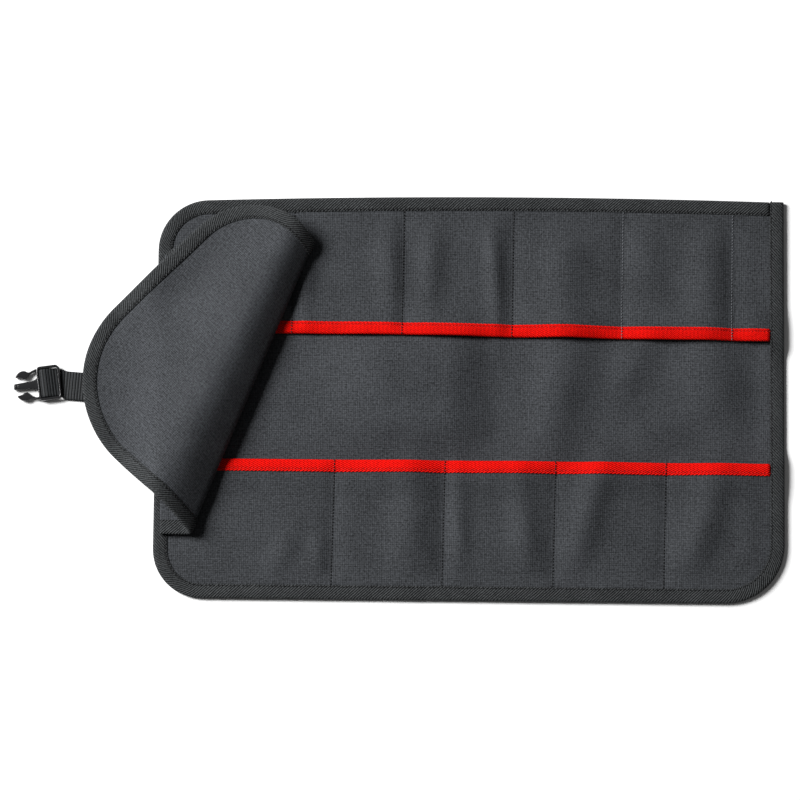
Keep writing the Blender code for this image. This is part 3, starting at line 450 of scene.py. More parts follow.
@dataclass(frozen=True)
class Fold:
    """The flap's shape: cut flat, hinged on the left side and folded back along a slanting roll."""

    ground: Ground = field(default_factory=Ground)
    hinge_inset: float = 0.006
    hinge_top: float = 0.1360
    hinge_bottom: float = 0.1225
    hinge_cut: float = 0.0110
    free_top: float = 0.1377
    free_bottom: float = 0.1266
    top_reach: float = 0.2173
    bottom_reach: float = 0.2289
    top_corner: float = 0.0670
    bottom_corner: float = 0.0919
    lift: float = 0.0085
    rest: float = 0.0036
    lean: float = math.radians(21.9)
    depth: tuple[float, float] = (0.019, 0.036)
    rise: tuple[float, float] = (0.0175, 0.0285)
    droop_length: float = 0.046
    droop_height: float = 0.0029
    droop_spread: float = 2.2
    droop_ease: float = 1.2
    climb_rate: float = 3.0
    seat_reaches: tuple[float, ...] = (-1.8, -0.9, 0.0, 0.9, 1.8)
    cut_slant: float = 1.3
    section: tuple[tuple[float, float, float], ...] = (
        (0.60, 0.000, 0.0),
        (0.25, 0.012, 0.0),
        (0.07, 0.050, 0.1),
        (0.00, 0.130, 0.3),
        (0.05, 0.230, 0.5),
        (0.22, 0.390, 0.7),
        (0.45, 0.600, 0.9),
        (0.70, 0.810, 1.0),
        (0.92, 0.940, 1.0),
        (1.15, 1.000, 1.0),
        (1.50, 0.950, 1.0),
        (2.00, 0.740, 1.0),
        (2.70, 0.400, 1.0),
        (3.50, 0.140, 1.0),
        (4.20, 0.030, 1.0),
    )
    waves: tuple[Swell, ...] = (
        Swell(0.045, 0.262, 0.110, 0.050, 47.0, -2.2),
        Swell(-0.052, 0.070, 0.090, 0.045, 84.0, 2.4),
        Swell(0.020, -0.180, 0.060, 0.060, 60.0, 1.6),
        Swell(0.170, 0.400, 0.050, 0.050, 60.0, 1.4),
    )

    @property
    def hinge(self) -> float:
        """X of the flap's sewn edge."""
        return self.ground.sizes.left + self.hinge_inset

    def axes(self) -> tuple[np.ndarray, np.ndarray, np.ndarray]:
        """Returns a point on the roll's outer line, its way down and its way left."""
        s = self.ground.sizes
        start = np.array((s.left + s.fold_reach + self.free_top * math.tan(self.lean), self.free_top))
        down = np.array((-math.sin(self.lean), -math.cos(self.lean)))
        left = np.array((-math.cos(self.lean), math.sin(self.lean)))
        return start, down, left

    def curve(self, steps: int = 8) -> np.ndarray:
        """Rounds the section's table into a curve.

        Args:
            steps: Points for each row of the table.

        Returns:
            Rows of depth, rise and rest shares.
        """
        rows = np.array(self.section, float)
        rows = np.vstack([2 * rows[0] - rows[1], rows, 2 * rows[-1] - rows[-2]])
        made = []
        for a, b, c, d in zip(rows, rows[1:], rows[2:], rows[3:]):
            for t in np.arange(steps) / steps:
                bend = (2 * a - 5 * b + 4 * c - d) * t**2 / 2 + (3 * b - a - 3 * c + d) * t**3 / 2
                made.append(b + (c - a) * t / 2 + bend)
        return np.array([*made, rows[-2]])

    def seat(self, y: np.ndarray) -> np.ndarray:
        """Finds the height of the flap's cloth where it is sewn on the edge tape.

        Args:
            y: Places along the hinge.

        Returns:
            The heights.
        """
        s = self.ground.sizes
        end = np.minimum(self.hinge_top - y, y + self.hinge_bottom)
        taped = (s.tape + s.play) * (1 - ease((end - s.tape_shown) / s.tape_shown))
        x = np.full(np.shape(y), self.hinge)
        tops = []
        for reach in self.seat_reaches:
            at = y + reach * s.tape_shown
            tops.append(self.ground.panel(x, at) + self.ground.stack(x, at) + s.play + s.tape)
        return np.max(tops, axis=0) + 2 * s.play + s.cloth / 2 + taped

    def place(self, flat: np.ndarray) -> np.ndarray:
        """Folds points of the flat flap back.

        Args:
            flat: Flat points, X and Y along the last axis.

        Returns:
            Where they lie once the flap is folded.
        """
        s = self.ground.sizes
        shape = flat.shape[:-1]
        points = flat.reshape(-1, 2)
        start, down, left = self.axes()
        along, away = (points - start) @ down, (points - start) @ left
        length = (self.free_top + self.free_bottom) / math.cos(self.lean)
        share = np.clip(along / length, 0, 1)[:, None]
        depth = self.depth[0] + (self.depth[1] - self.depth[0]) * share
        rise = self.rise[0] + (self.rise[1] - self.rise[0]) * share
        curve = self.curve()
        across = curve[:, 0] * depth
        high = curve[:, 1] * (rise - self.rest) + curve[:, 2] * self.rest
        steps = np.hypot(np.diff(across, axis=1), np.diff(high, axis=1))
        total = np.concatenate([np.zeros((len(points), 1)), np.cumsum(steps, axis=1)], axis=1)
        arc = across[:, 0] - away
        index = np.clip((total <= arc[:, None]).sum(axis=1) - 1, 0, total.shape[1] - 2)
        rows = np.arange(len(points))
        t = (arc - total[rows, index]) / (total[rows, index + 1] - total[rows, index])
        t = np.clip(t, 0, 1)
        reach = across[rows, index] * (1 - t) + across[rows, index + 1] * t
        up = high[rows, index] * (1 - t) + high[rows, index + 1] * t
        reach = reach + np.maximum(arc - total[:, -1], 0)
        at = start + down * along[:, None] + left * reach[:, None]
        x, y = points[:, 0], points[:, 1]
        eased = ease((x - self.hinge) / (2 * s.tape_shown))
        base = self.seat(y) * (1 - eased) + self.lift * eased
        climb = ease(arc / total[:, -1] * self.climb_rate)
        height = base * (1 - climb) + self.lift * climb + up
        middle = s.strap_offset + (at[:, 0] - s.left) * math.tan(s.strap_turn)
        beside = self.droop_spread * s.webbing - np.abs(at[:, 1] - middle)
        over = ease(beside / (self.droop_ease * s.webbing))
        over_strap = (2 * s.webbing_wall + s.play) * over
        droop = ease((self.hinge - at[:, 0]) / self.droop_length)
        height = height * (1 - droop) + (self.droop_height + over_strap) * droop
        wave = self.ground.rises(at[:, 0], at[:, 1], self.waves)
        height = height + wave * ease(arc / total[:, -1] * 4 - 2)
        folded = np.concatenate([at, height[:, None]], axis=1)
        unfolded = np.stack([x, y, base], axis=1)
        return np.where(arc[:, None] <= 0, unfolded, folded).reshape(*shape, 3)

    def normal(self, flat: np.ndarray) -> np.ndarray:
        """Finds the folded flap's normals.

        Args:
            flat: Flat points.

        Returns:
            Unit normals on the side that faced up when the flap lay flat.
        """
        step = 0.0004
        right, up = np.array((step, 0.0)), np.array((0.0, step))
        along = self.place(flat + right) - self.place(flat - right)
        across = self.place(flat + up) - self.place(flat - up)
        return unit(np.cross(along, across))

    def chains(self, inset: float) -> tuple[np.ndarray, np.ndarray]:
        """Draws the flat flap's outline.

        Args:
            inset: How far inside the tape's outer face it runs.

        Returns:
            The top and the bottom chain, each from the hinge to the end of its round corner.
        """
        hinge_top = np.array((self.hinge, self.hinge_top - inset))
        hinge_bottom = np.array((self.hinge, inset - self.hinge_bottom))
        free_top = np.array((self.hinge + self.top_reach - inset, self.free_top - inset))
        free_bottom = np.array((self.hinge + self.bottom_reach - inset, inset - self.free_bottom))
        top = round_corner(hinge_top, free_top, free_bottom, self.top_corner - inset)
        bottom = round_corner(hinge_bottom, free_bottom, free_top, self.bottom_corner - inset)
        low_corner = hinge_top - np.array((0.0, self.hinge_cut))
        slant_end = hinge_top + np.array((self.cut_slant * self.hinge_cut, 0.0))
        return np.array([low_corner, slant_end, *top]), np.array([hinge_bottom, *bottom])


def round_corner(before: np.ndarray, corner: np.ndarray, after: np.ndarray, radius: float) -> list[np.ndarray]:
    """Rounds a corner of a flat outline.

    Args:
        before: The point before the corner.
        corner: The corner.
        after: The point after it.
        radius: Radius of its arc.

    Returns:
        Points of the arc.
    """
    u, v = unit(before - corner), unit(after - corner)
    half = math.acos(float(u @ v)) / 2
    centre = corner + unit(u + v) * radius / math.sin(half)
    first = corner + u * radius / math.tan(half) - centre
    last = corner + v * radius / math.tan(half) - centre
    start = math.atan2(first[1], first[0])
    swing = (math.atan2(last[1], last[0]) - start + math.pi) % (2 * math.pi) - math.pi
    return [centre + radius * np.array((math.cos(a), math.sin(a))) for a in np.linspace(start, start + swing, 48)]


class Tree:
    """Adds and joins nodes of a node tree."""

    def __init__(self, tree: bpy.types.NodeTree) -> None:
        """Holds the tree that the nodes go into."""
        self.tree = tree

    def add(self, kind: str, inputs: dict[Any, Any] | None = None, **settings: Any) -> bpy.types.Node:
        """Adds a node.

        Args:
            kind: The node's type.
            inputs: Sockets by name or number, each with a value or with the socket that feeds it.
            **settings: Properties of the node.

        Returns:
            The node.
        """
        node = self.tree.nodes.new(kind)
        for name, value in settings.items():
            setattr(node, name, value)
        for key, value in (inputs or {}).items():
            if isinstance(value, bpy.types.NodeSocket):
                self.link(value, node.inputs[key])
            else:
                node.inputs[key].default_value = value
        return node

    def link(self, source: bpy.types.NodeSocket, target: bpy.types.NodeSocket) -> None:
        """Joins a socket to the one that it feeds."""
        self.tree.links.new(source, target)

    def math(self, operation: str, *values: Any) -> bpy.types.NodeSocket:
        """Adds a Math node and returns its result."""
        return self.add("ShaderNodeMath", dict(enumerate(values)), operation=operation).outputs[0]

    def spread(self, value: Any, low: float, high: float, to_low: float, to_high: float) -> bpy.types.NodeSocket:
        """Maps a range onto another, held at its ends, and returns the result."""
        plan = {"Value": value, "From Min": low, "From Max": high, "To Min": to_low, "To Max": to_high}
        return self.add("ShaderNodeMapRange", plan).outputs["Result"]

    def noise(self, where: Any, scale: float, detail: float = 3.0, roughness: float = 0.55) -> bpy.types.NodeSocket:
        """Adds a noise texture and returns its factor."""
        plan = {"Vector": where, "Scale": scale, "Detail": detail, "Roughness": roughness}
        return self.add("ShaderNodeTexNoise", plan).outputs["Fac"]


def new_group(name: str, inputs: Iterable[tuple[str, str, float]], outputs: Iterable[str]) -> tuple[Tree, Any, Any]:
    """Makes an empty shader node group.

    Args:
        name: The group's name.
        inputs: Name, socket type and value of each input.
        outputs: Name of each value that it puts out.

    Returns:
        The tree, the outputs of its input node and the inputs of its output node.
    """
    group = bpy.data.node_groups.new(name, "ShaderNodeTree")
    for label, kind, value in inputs:
        socket = group.interface.new_socket(label, in_out="INPUT", socket_type=kind)
        if kind == "NodeSocketFloat":
            socket.default_value = value
    for label in outputs:
        group.interface.new_socket(label, in_out="OUTPUT", socket_type="NodeSocketFloat")
    tree = Tree(group)
    return tree, tree.add("NodeGroupInput").outputs, tree.add("NodeGroupOutput").inputs


def weave_group() -> bpy.types.NodeTree:
    """Makes the plain weave: threads that pass over and under each other, with slubs and a soft blotch.

    Returns:
        The group. It puts out the thread's Height and a Shade that varies along threads and over the cloth.
    """
    plan = (("Vector", "NodeSocketVector", 0), ("Pitch", "NodeSocketFloat", 0.0008), ("Ribs", "NodeSocketFloat", 0.0))
    tree, given, out = new_group("plain_weave", plan, ("Height", "Shade"))
    split = tree.add("ShaderNodeSeparateXYZ", {"Vector": given["Vector"]}).outputs
    u = tree.math("DIVIDE", split["X"], given["Pitch"])
    v = tree.math("DIVIDE", split["Y"], given["Pitch"])
    warp = tree.math("ABSOLUTE", tree.math("SINE", tree.math("MULTIPLY", u, math.pi)))
    weft = tree.math("ABSOLUTE", tree.math("SINE", tree.math("MULTIPLY", v, math.pi)))
    tiles = tree.math("ADD", tree.math("FLOOR", u), tree.math("FLOOR", v))
    even = tree.math("LESS_THAN", tree.math("FLOORED_MODULO", tiles, 2.0), 0.5)
    over = tree.math("MULTIPLY", tree.math("POWER", warp, 0.6), tree.math("MULTIPLY_ADD", weft, 0.5, 0.5))
    under = tree.math("MULTIPLY", tree.math("POWER", weft, 0.6), tree.math("MULTIPLY_ADD", warp, 0.5, 0.5))
    mixed = tree.add("ShaderNodeMix", {"Factor": even, "A": under, "B": over}).outputs["Result"]
    ribbed = tree.add("ShaderNodeMix", {"Factor": given["Ribs"], "A": mixed, "B": warp}).outputs["Result"]
    stretched = []
    for scale in ((620.0, 60.0, 1.0), (60.0, 620.0, 1.0)):
        node = tree.add("ShaderNodeVectorMath", {0: given["Vector"], 1: scale}, operation="MULTIPLY")
        stretched.append(node.outputs[0])
    slubs = tree.math("ADD", *(tree.noise(where, 1.0, 2.0) for where in stretched))
    specks = tree.noise(given["Vector"], 520.0, 2.0, 0.8)
    cloudy = tree.noise(given["Vector"], 22.0, 4.0, 0.6)
    shade = tree.math("MULTIPLY_ADD", slubs, 0.22, tree.math("MULTIPLY_ADD", specks, 1.2, -0.445))
    shade = tree.math("MULTIPLY_ADD", cloudy, 0.25, shade)
    tree.link(ribbed, out["Height"])
    tree.link(shade, out["Shade"])
    return tree.tree


def twill_group() -> bpy.types.NodeTree:
    """Makes the tape's weave: slanting ribs that turn back along the tape's middle, cut by fine threads.

    Returns:
        The group. It puts out the ribs' Height and a Shade.
    """
    plan = (
        ("Vector", "NodeSocketVector", 0),
        ("Rib Pitch", "NodeSocketFloat", 0.0034),
        ("Lean", "NodeSocketFloat", 2.0),
        ("Turn Back", "NodeSocketFloat", 0.0),
        ("Stitch Line", "NodeSocketFloat", 0.0108),
    )
    tree, given, out = new_group("twill_tape", plan, ("Height", "Shade", "Pull"))
    split = tree.add("ShaderNodeSeparateXYZ", {"Vector": given["Vector"]}).outputs
    side = tree.math("SUBTRACT", split["Y"], given["Turn Back"])
    turned = tree.math("ABSOLUTE", side)
    wobble = tree.math("MULTIPLY", tree.noise(given["Vector"], 160.0, 2.0), 0.0009)
    slant = tree.math("ADD", tree.math("MULTIPLY_ADD", turned, given["Lean"], split["X"]), wobble)
    rib = tree.math("SINE", tree.math("MULTIPLY", tree.math("DIVIDE", slant, given["Rib Pitch"]), 2 * math.pi))
    rib = tree.math("MULTIPLY_ADD", rib, 0.5, 0.5)
    fine = tree.math("SINE", tree.math("MULTIPLY", split["X"], 2 * math.pi / 0.0017))
    cross = tree.math("SINE", tree.math("MULTIPLY", split["Y"], 2 * math.pi / 0.0018))
    threads = tree.math("MULTIPLY_ADD", tree.math("MULTIPLY", fine, cross), 0.5, 0.5)
    height = tree.math("MULTIPLY_ADD", threads, 0.3, tree.math("MULTIPLY", rib, 0.7))
    specks = tree.noise(given["Vector"], 620.0, 2.0, 0.8)
    cloudy = tree.noise(given["Vector"], 45.0, 3.0)
    shade = tree.math("MULTIPLY_ADD", specks, 1.2, tree.math("MULTIPLY_ADD", cloudy, 0.35, -0.62))
    shade = tree.math("MULTIPLY_ADD", height, 0.7, shade)
    from_line = tree.math("SUBTRACT", tree.math("ABSOLUTE", split["Y"]), given["Stitch Line"])
    near = tree.spread(tree.math("ABSOLUTE", from_line), 0.0004, 0.0013, 1, 0)
    tree.link(height, out["Height"])
    tree.link(shade, out["Shade"])
    tree.link(near, out["Pull"])
    return tree.tree


def wear_group() -> bpy.types.NodeTree:
    """Makes light handling wear: a few scuffs and lint flecks in soft patches.

    Returns:
        The group. It puts out a mask of Scuffs and one of Lint.
    """
    plan = (("Vector", "NodeSocketVector", 0), ("Scale", "NodeSocketFloat", 40.0))
    tree, given, out = new_group("light_wear", plan, ("Scuffs", "Lint"))
    broad = tree.noise(given["Vector"], 9.0, 5.0, 0.62)
    fine = tree.add("ShaderNodeTexNoise", {"Vector": given["Vector"], "Scale": given["Scale"], "Detail": 6.0})
    worn = tree.spread(broad, 0.52, 0.72, 0, 1)
    scuffs = tree.math("MULTIPLY", worn, tree.spread(fine.outputs["Fac"], 0.5, 0.7, 0, 1))
    cells = tree.add("ShaderNodeTexVoronoi", {"Vector": given["Vector"], "Scale": 170.0, "Randomness": 1.0})
    flecks = tree.spread(cells.outputs["Distance"], 0.05, 0.11, 1, 0)
    lint = tree.math("MULTIPLY", flecks, tree.spread(broad, 0.5, 0.6, 0, 1))
    tree.link(scuffs, out["Scuffs"])
    tree.link(lint, out["Lint"])
    return tree.tree


def place_group(tree: Tree, name: str, where: Any, **values: float) -> Any:
    """Puts a shared group into a material.

    Args:
        tree: The material's tree.
        name: The group's name.
        where: Socket of the places that it reads.
        **values: Its inputs, with an underscore for each space.

    Returns:
        The outputs of the group.
    """
    node = tree.add("ShaderNodeGroup", node_tree=bpy.data.node_groups[name])
    tree.link(where, node.inputs["Vector"])
    for label, value in values.items():
        node.inputs[label.replace("_", " ").title()].default_value = value
    return node.outputs


def tinted(tree: Tree, shade: Any, colour: Sequence[float], low: float, high: float) -> Any:
    """Turns a shade into a colour.

    Args:
        tree: The material's tree.
        shade: Socket of the shade, about 0.2 to 0.8.
        colour: The finish's mean colour.
        low: Brightness at the dark end, as a share.
        high: Brightness at the light end, as a share.

    Returns:
        Socket of the colour.
    """
    ramp = tree.add("ShaderNodeValToRGB", {"Fac": shade})
    dark, light = ramp.color_ramp.elements
    dark.position, light.position = 0.2, 0.8
    dark.color = (*(c * low for c in colour), 1)
    light.color = (*(min(c * high, 1.0) for c in colour), 1)
    return ramp.outputs["Color"]


def start_material(name: str, **constants: float) -> tuple[bpy.types.Material, Tree, bpy.types.Node]:
    """Makes a material with one Principled shader.

    Args:
        name: The material's name.
        **constants: The shader's plain inputs, with an underscore for each space.

    Returns:
        The material, its tree and its shader.
    """
    made = bpy.data.materials.new(name)
    made.use_nodes = True
    shader = made.node_tree.nodes["Principled BSDF"]
    for label, value in constants.items():
        shader.inputs[label.replace("_", " ").title().replace("Ior", "IOR")].default_value = value
    return made, Tree(made.node_tree), shader


def add_bump(tree: Tree, shader: bpy.types.Node, height: Any, strength: float, distance: float) -> None:
    """Feeds a height to the shader's normal.

    Args:
        tree: The material's tree.
        shader: The Principled shader.
        height: Socket of the height.
        strength: Strength of the bump.
        distance: Height that 1 stands for.
    """
    plan = {"Height": height, "Strength": strength, "Distance": distance}
    bump = tree.add("ShaderNodeBump", plan)
    tree.link(bump.outputs["Normal"], shader.inputs["Normal"])


@dataclass(frozen=True)
class ClothFinish:
    """Coated polyester cloth in plain weave."""

    name: str
    colour: tuple[float, float, float]
    pitch: float = 0.0016
    contrast: float = 0.30
    grain: float = 1.1
    bump: float = 0.6
    sheen: float = 0.03

    def build(self) -> bpy.types.Material:
        """Makes the material from the piece's own cloth map."""
        plan = {"roughness": 0.7, "specular_ior_level": 0.10, "sheen_weight": self.sheen, "sheen_roughness": 0.4}
        made, tree, shader = start_material(self.name, **plan)
        where = tree.add("ShaderNodeUVMap", uv_map="cloth").outputs["UV"]
        weave = place_group(tree, "plain_weave", where, pitch=self.pitch)
        wear = place_group(tree, "light_wear", where, scale=60.0)
        thread = tree.math("MULTIPLY_ADD", weave["Height"], self.contrast, 0.5 - 0.6 * self.contrast - 0.5 * self.grain)
        shade = tree.math("MULTIPLY_ADD", weave["Shade"], self.grain, thread)
        base = tinted(tree, shade, self.colour, 0.30, 1.85)
        lint = tree.math("MULTIPLY", wear["Lint"], 0.10)
        tree.link(self.mix(tree, lint, base), shader.inputs["Base Color"])
        rough = tree.math("MULTIPLY_ADD", weave["Height"], -0.10, 0.74)
        rough = tree.math("MULTIPLY_ADD", wear["Scuffs"], -0.12, rough)
        tree.link(rough, shader.inputs["Roughness"])
        add_bump(tree, shader, weave["Height"], self.bump, self.pitch * 0.26)
        return made

    def mix(self, tree: Tree, factor: Any, base: Any) -> Any:
        """Mixes pale lint into the base colour and returns the result."""
        node = tree.add("ShaderNodeMix", data_type="RGBA")
        tree.link(factor, node.inputs[0])
        tree.link(base, node.inputs[6])
        node.inputs[7].default_value = (0.30, 0.30, 0.31, 1)
        return node.outputs[2]


@dataclass(frozen=True)
class TapeFinish:
    """Twill tape, black or red."""

    name: str
    colour: tuple[float, float, float]
    rib_pitch: float = 0.0027
    lean: float = 1.1
    turn_back: float = -0.02
    low: float = 0.2
    high: float = 2.1
    bump: float = 1.0
    stitch_line: float = 0.0111
    # Darkness of the painted shade in the groove along the stitch line.
    stitch_groove_shade: float = 0.05

    def build(self) -> bpy.types.Material:
        """Makes the material from the piece's own cloth map."""
        made, tree, shader = start_material(self.name, roughness=0.75, specular_ior_level=0.08)
        where = tree.add("ShaderNodeUVMap", uv_map="cloth").outputs["UV"]
        plan = {"rib_pitch": self.rib_pitch, "lean": self.lean, "turn_back": self.turn_back}
        twill = place_group(tree, "twill_tape", where, stitch_line=self.stitch_line, **plan)
        # Painted shade: the colour is darkened along the sunken stitch line, where shade falls in its groove.
        groove_shaded = tree.math("MULTIPLY_ADD", twill["Pull"], -self.stitch_groove_shade, twill["Shade"])
        base = tinted(tree, groove_shaded, self.colour, self.low, self.high)
        tree.link(base, shader.inputs["Base Color"])
        rough = tree.math("MULTIPLY_ADD", twill["Height"], -0.12, 0.78)
        tree.link(rough, shader.inputs["Roughness"])
        dented = tree.math("MULTIPLY_ADD", twill["Pull"], -0.2, twill["Height"])
        add_bump(tree, shader, dented, self.bump, 0.0008)
        return made


@dataclass(frozen=True)
class WebbingFinish:
    """Ribbed strap webbing. Its ribs are in the mesh; here are its threads and painted shade in the grooves between the
    ribs.
    """

    name: str
    colour: tuple[float, float, float]
    rib_pitch: float = 0.0025

    def build(self) -> bpy.types.Material:
        """Makes the material from the piece's own cloth map."""
        made, tree, shader = start_material(self.name, roughness=0.6, specular_ior_level=0.15)
        where = tree.add("ShaderNodeUVMap", uv_map="cloth").outputs["UV"]
        weave = place_group(tree, "plain_weave", where, pitch=0.0014, ribs=0.35)
        lengthways = tree.add("ShaderNodeSeparateXYZ", {"Vector": where}).outputs["X"]
        # Painted shade: the colour darkens between the ribs, in the grooves where shade falls.
        rib = tree.math("ABSOLUTE", tree.math("SINE", tree.math("MULTIPLY", lengthways, math.pi / self.rib_pitch)))
        shade = tree.math("ADD", weave["Shade"], tree.math("MULTIPLY_ADD", rib, 1.2, -0.7))
        base = tinted(tree, shade, self.colour, 0.25, 2.0)
        tree.link(base, shader.inputs["Base Color"])
        rough = tree.math("MULTIPLY_ADD", weave["Height"], -0.15, 0.66)
        tree.link(rough, shader.inputs["Roughness"])
        add_bump(tree, shader, weave["Height"], 0.8, 0.0002)
        return made


@dataclass(frozen=True)
class PlasticFinish:
    """Moulded glossy plastic with a fine grain and light handling marks."""

    name: str
    colour: tuple[float, float, float]

    def build(self) -> bpy.types.Material:
        """Makes the material on object coordinates."""
        made, tree, shader = start_material(self.name, roughness=0.2, ior=1.5, coat_weight=0.3, coat_roughness=0.12)
        where = tree.add("ShaderNodeTexCoord").outputs["Object"]
        wear = place_group(tree, "light_wear", where, scale=300.0)
        grain = tree.noise(where, 1800.0, 2.0)
        base = tinted(tree, grain, self.colour, 0.8, 1.25)
        tree.link(base, shader.inputs["Base Color"])
        rough = tree.math("MULTIPLY_ADD", wear["Scuffs"], 0.18, tree.math("MULTIPLY_ADD", grain, 0.10, 0.14))
        tree.link(rough, shader.inputs["Roughness"])
        add_bump(tree, shader, grain, 0.15, 0.00008)
        return made


@dataclass(frozen=True)
class ThreadFinish:
    """Sewing thread."""

    name: str
    colour: tuple[float, float, float]

    def build(self) -> bpy.types.Material:
        """Makes the material on object coordinates."""
        made, tree, shader = start_material(self.name, roughness=0.55, specular_ior_level=0.25)
        where = tree.add("ShaderNodeTexCoord").outputs["Object"]
        ply = tree.noise(where, 2600.0, 2.0)
        base = tinted(tree, ply, self.colour, 0.7, 1.35)
        tree.link(base, shader.inputs["Base Color"])
        rough = tree.math("MULTIPLY_ADD", ply, 0.3, 0.4)
        tree.link(rough, shader.inputs["Roughness"])
        add_bump(tree, shader, ply, 0.4, 0.0001)
        return made


@dataclass(frozen=True)
class Palette:
    """All finishes of the roll, by the names that its pieces ask for."""

    finishes: tuple[Any, ...] = (
        ClothFinish("pocket_cloth", (0.0340, 0.0363, 0.0400)),
        ClothFinish("panel_cloth", (0.0350, 0.0374, 0.0414)),
        TapeFinish("black_tape", (0.0300, 0.0318, 0.0330)),
        TapeFinish(
            "red_tape",
            (0.74, 0.0036, 0.0012),
            rib_pitch=0.0034,
            lean=1.9,
            low=0.52,
            high=1.36,
            stitch_line=0.0086,
            # Painted shade along the red tape's stitch groove.
            stitch_groove_shade=0.10,
        ),
        WebbingFinish("black_webbing", (0.0125, 0.0135, 0.0145)),
        PlasticFinish("black_plastic", (0.012, 0.012, 0.013)),
        ThreadFinish("dark_thread", (0.006, 0.006, 0.007)),
        ThreadFinish("grey_thread", (0.10, 0.105, 0.115)),
        ThreadFinish("red_thread", (0.30, 0.004, 0.003)),
    )

    def build(self) -> dict[str, bpy.types.Material]:
        """Makes the shared groups, then every finish, and returns the materials by name."""
        weave_group()
        twill_group()
        wear_group()
        return {finish.name: finish.build() for finish in self.finishes}


def add_mesh(name: str, vertices: np.ndarray, faces: list[tuple[int, ...]]) -> bpy.types.Object:
    """Makes a smooth mesh object at the origin.

    Args:
        name: The object's name.
        vertices: Its points.
        faces: Its faces.

    Returns:
        The object.
    """
    mesh = bpy.data.meshes.new(name)
    mesh.from_pydata(vertices.tolist(), [], faces)
    mesh.shade_smooth()
    made = bpy.data.objects.new(name, mesh)
    bpy.context.scene.collection.objects.link(made)
    return made


def map_cloth(obj: bpy.types.Object, places: np.ndarray) -> None:
    """Gives a mesh its cloth map.

    Args:
        obj: The object.
        places: Flat place of each vertex, in metres.
    """
    layer = obj.data.uv_layers.new(name="cloth")
    loops = np.zeros(len(obj.data.loops), dtype=np.int32)
    obj.data.loops.foreach_get("vertex_index", loops)
    layer.data.foreach_set("uv", places[loops].astype(np.float32).ravel())


def dress(obj: bpy.types.Object, material: bpy.types.Material) -> bpy.types.Object:
    """Gives a piece its material and lets it ride on the roll.

    Args:
        obj: The piece.
        material: Its material.

    Returns:
        The piece.
    """
    obj.data.materials.clear()
    obj.data.materials.append(material)
    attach(obj, "root")
    return obj


@dataclass
class Sheet:
    """A cloth sheet with a wall, from a grid of points on its middle."""

    name: str
    points: np.ndarray
    flat: np.ndarray
    wall: float

    def build(self) -> bpy.types.Object:
        """Makes both faces and the rim."""
        columns, rows = self.points.shape[:2]
        along = np.gradient(self.points, axis=0)
        across = np.gradient(self.points, axis=1)
        normal = unit(np.cross(along, across))
        top = (self.points + normal * self.wall / 2).reshape(-1, 3)
        low = (self.points - normal * self.wall / 2).reshape(-1, 3)
        index = np.arange(columns * rows).reshape(columns, rows)
        count = columns * rows
        a, b, c, d = index[:-1, :-1], index[1:, :-1], index[1:, 1:], index[:-1, 1:]
        upper = np.stack([a, b, c, d], axis=-1).reshape(-1, 4)
        lower = np.stack([d, c, b, a], axis=-1).reshape(-1, 4) + count
        rim = [index[:, 0], index[-1, :], index[::-1, -1], index[0, ::-1]]
        edges = [np.stack([r[1:], r[:-1], r[:-1] + count, r[1:] + count], axis=-1) for r in rim]
        faces = [tuple(f) for f in np.concatenate([upper, lower, *edges]).tolist()]
        made = add_mesh(self.name, np.concatenate([top, low]), faces)
        flat = self.flat.reshape(-1, 2)
        map_cloth(made, np.concatenate([flat, flat]))
        return made


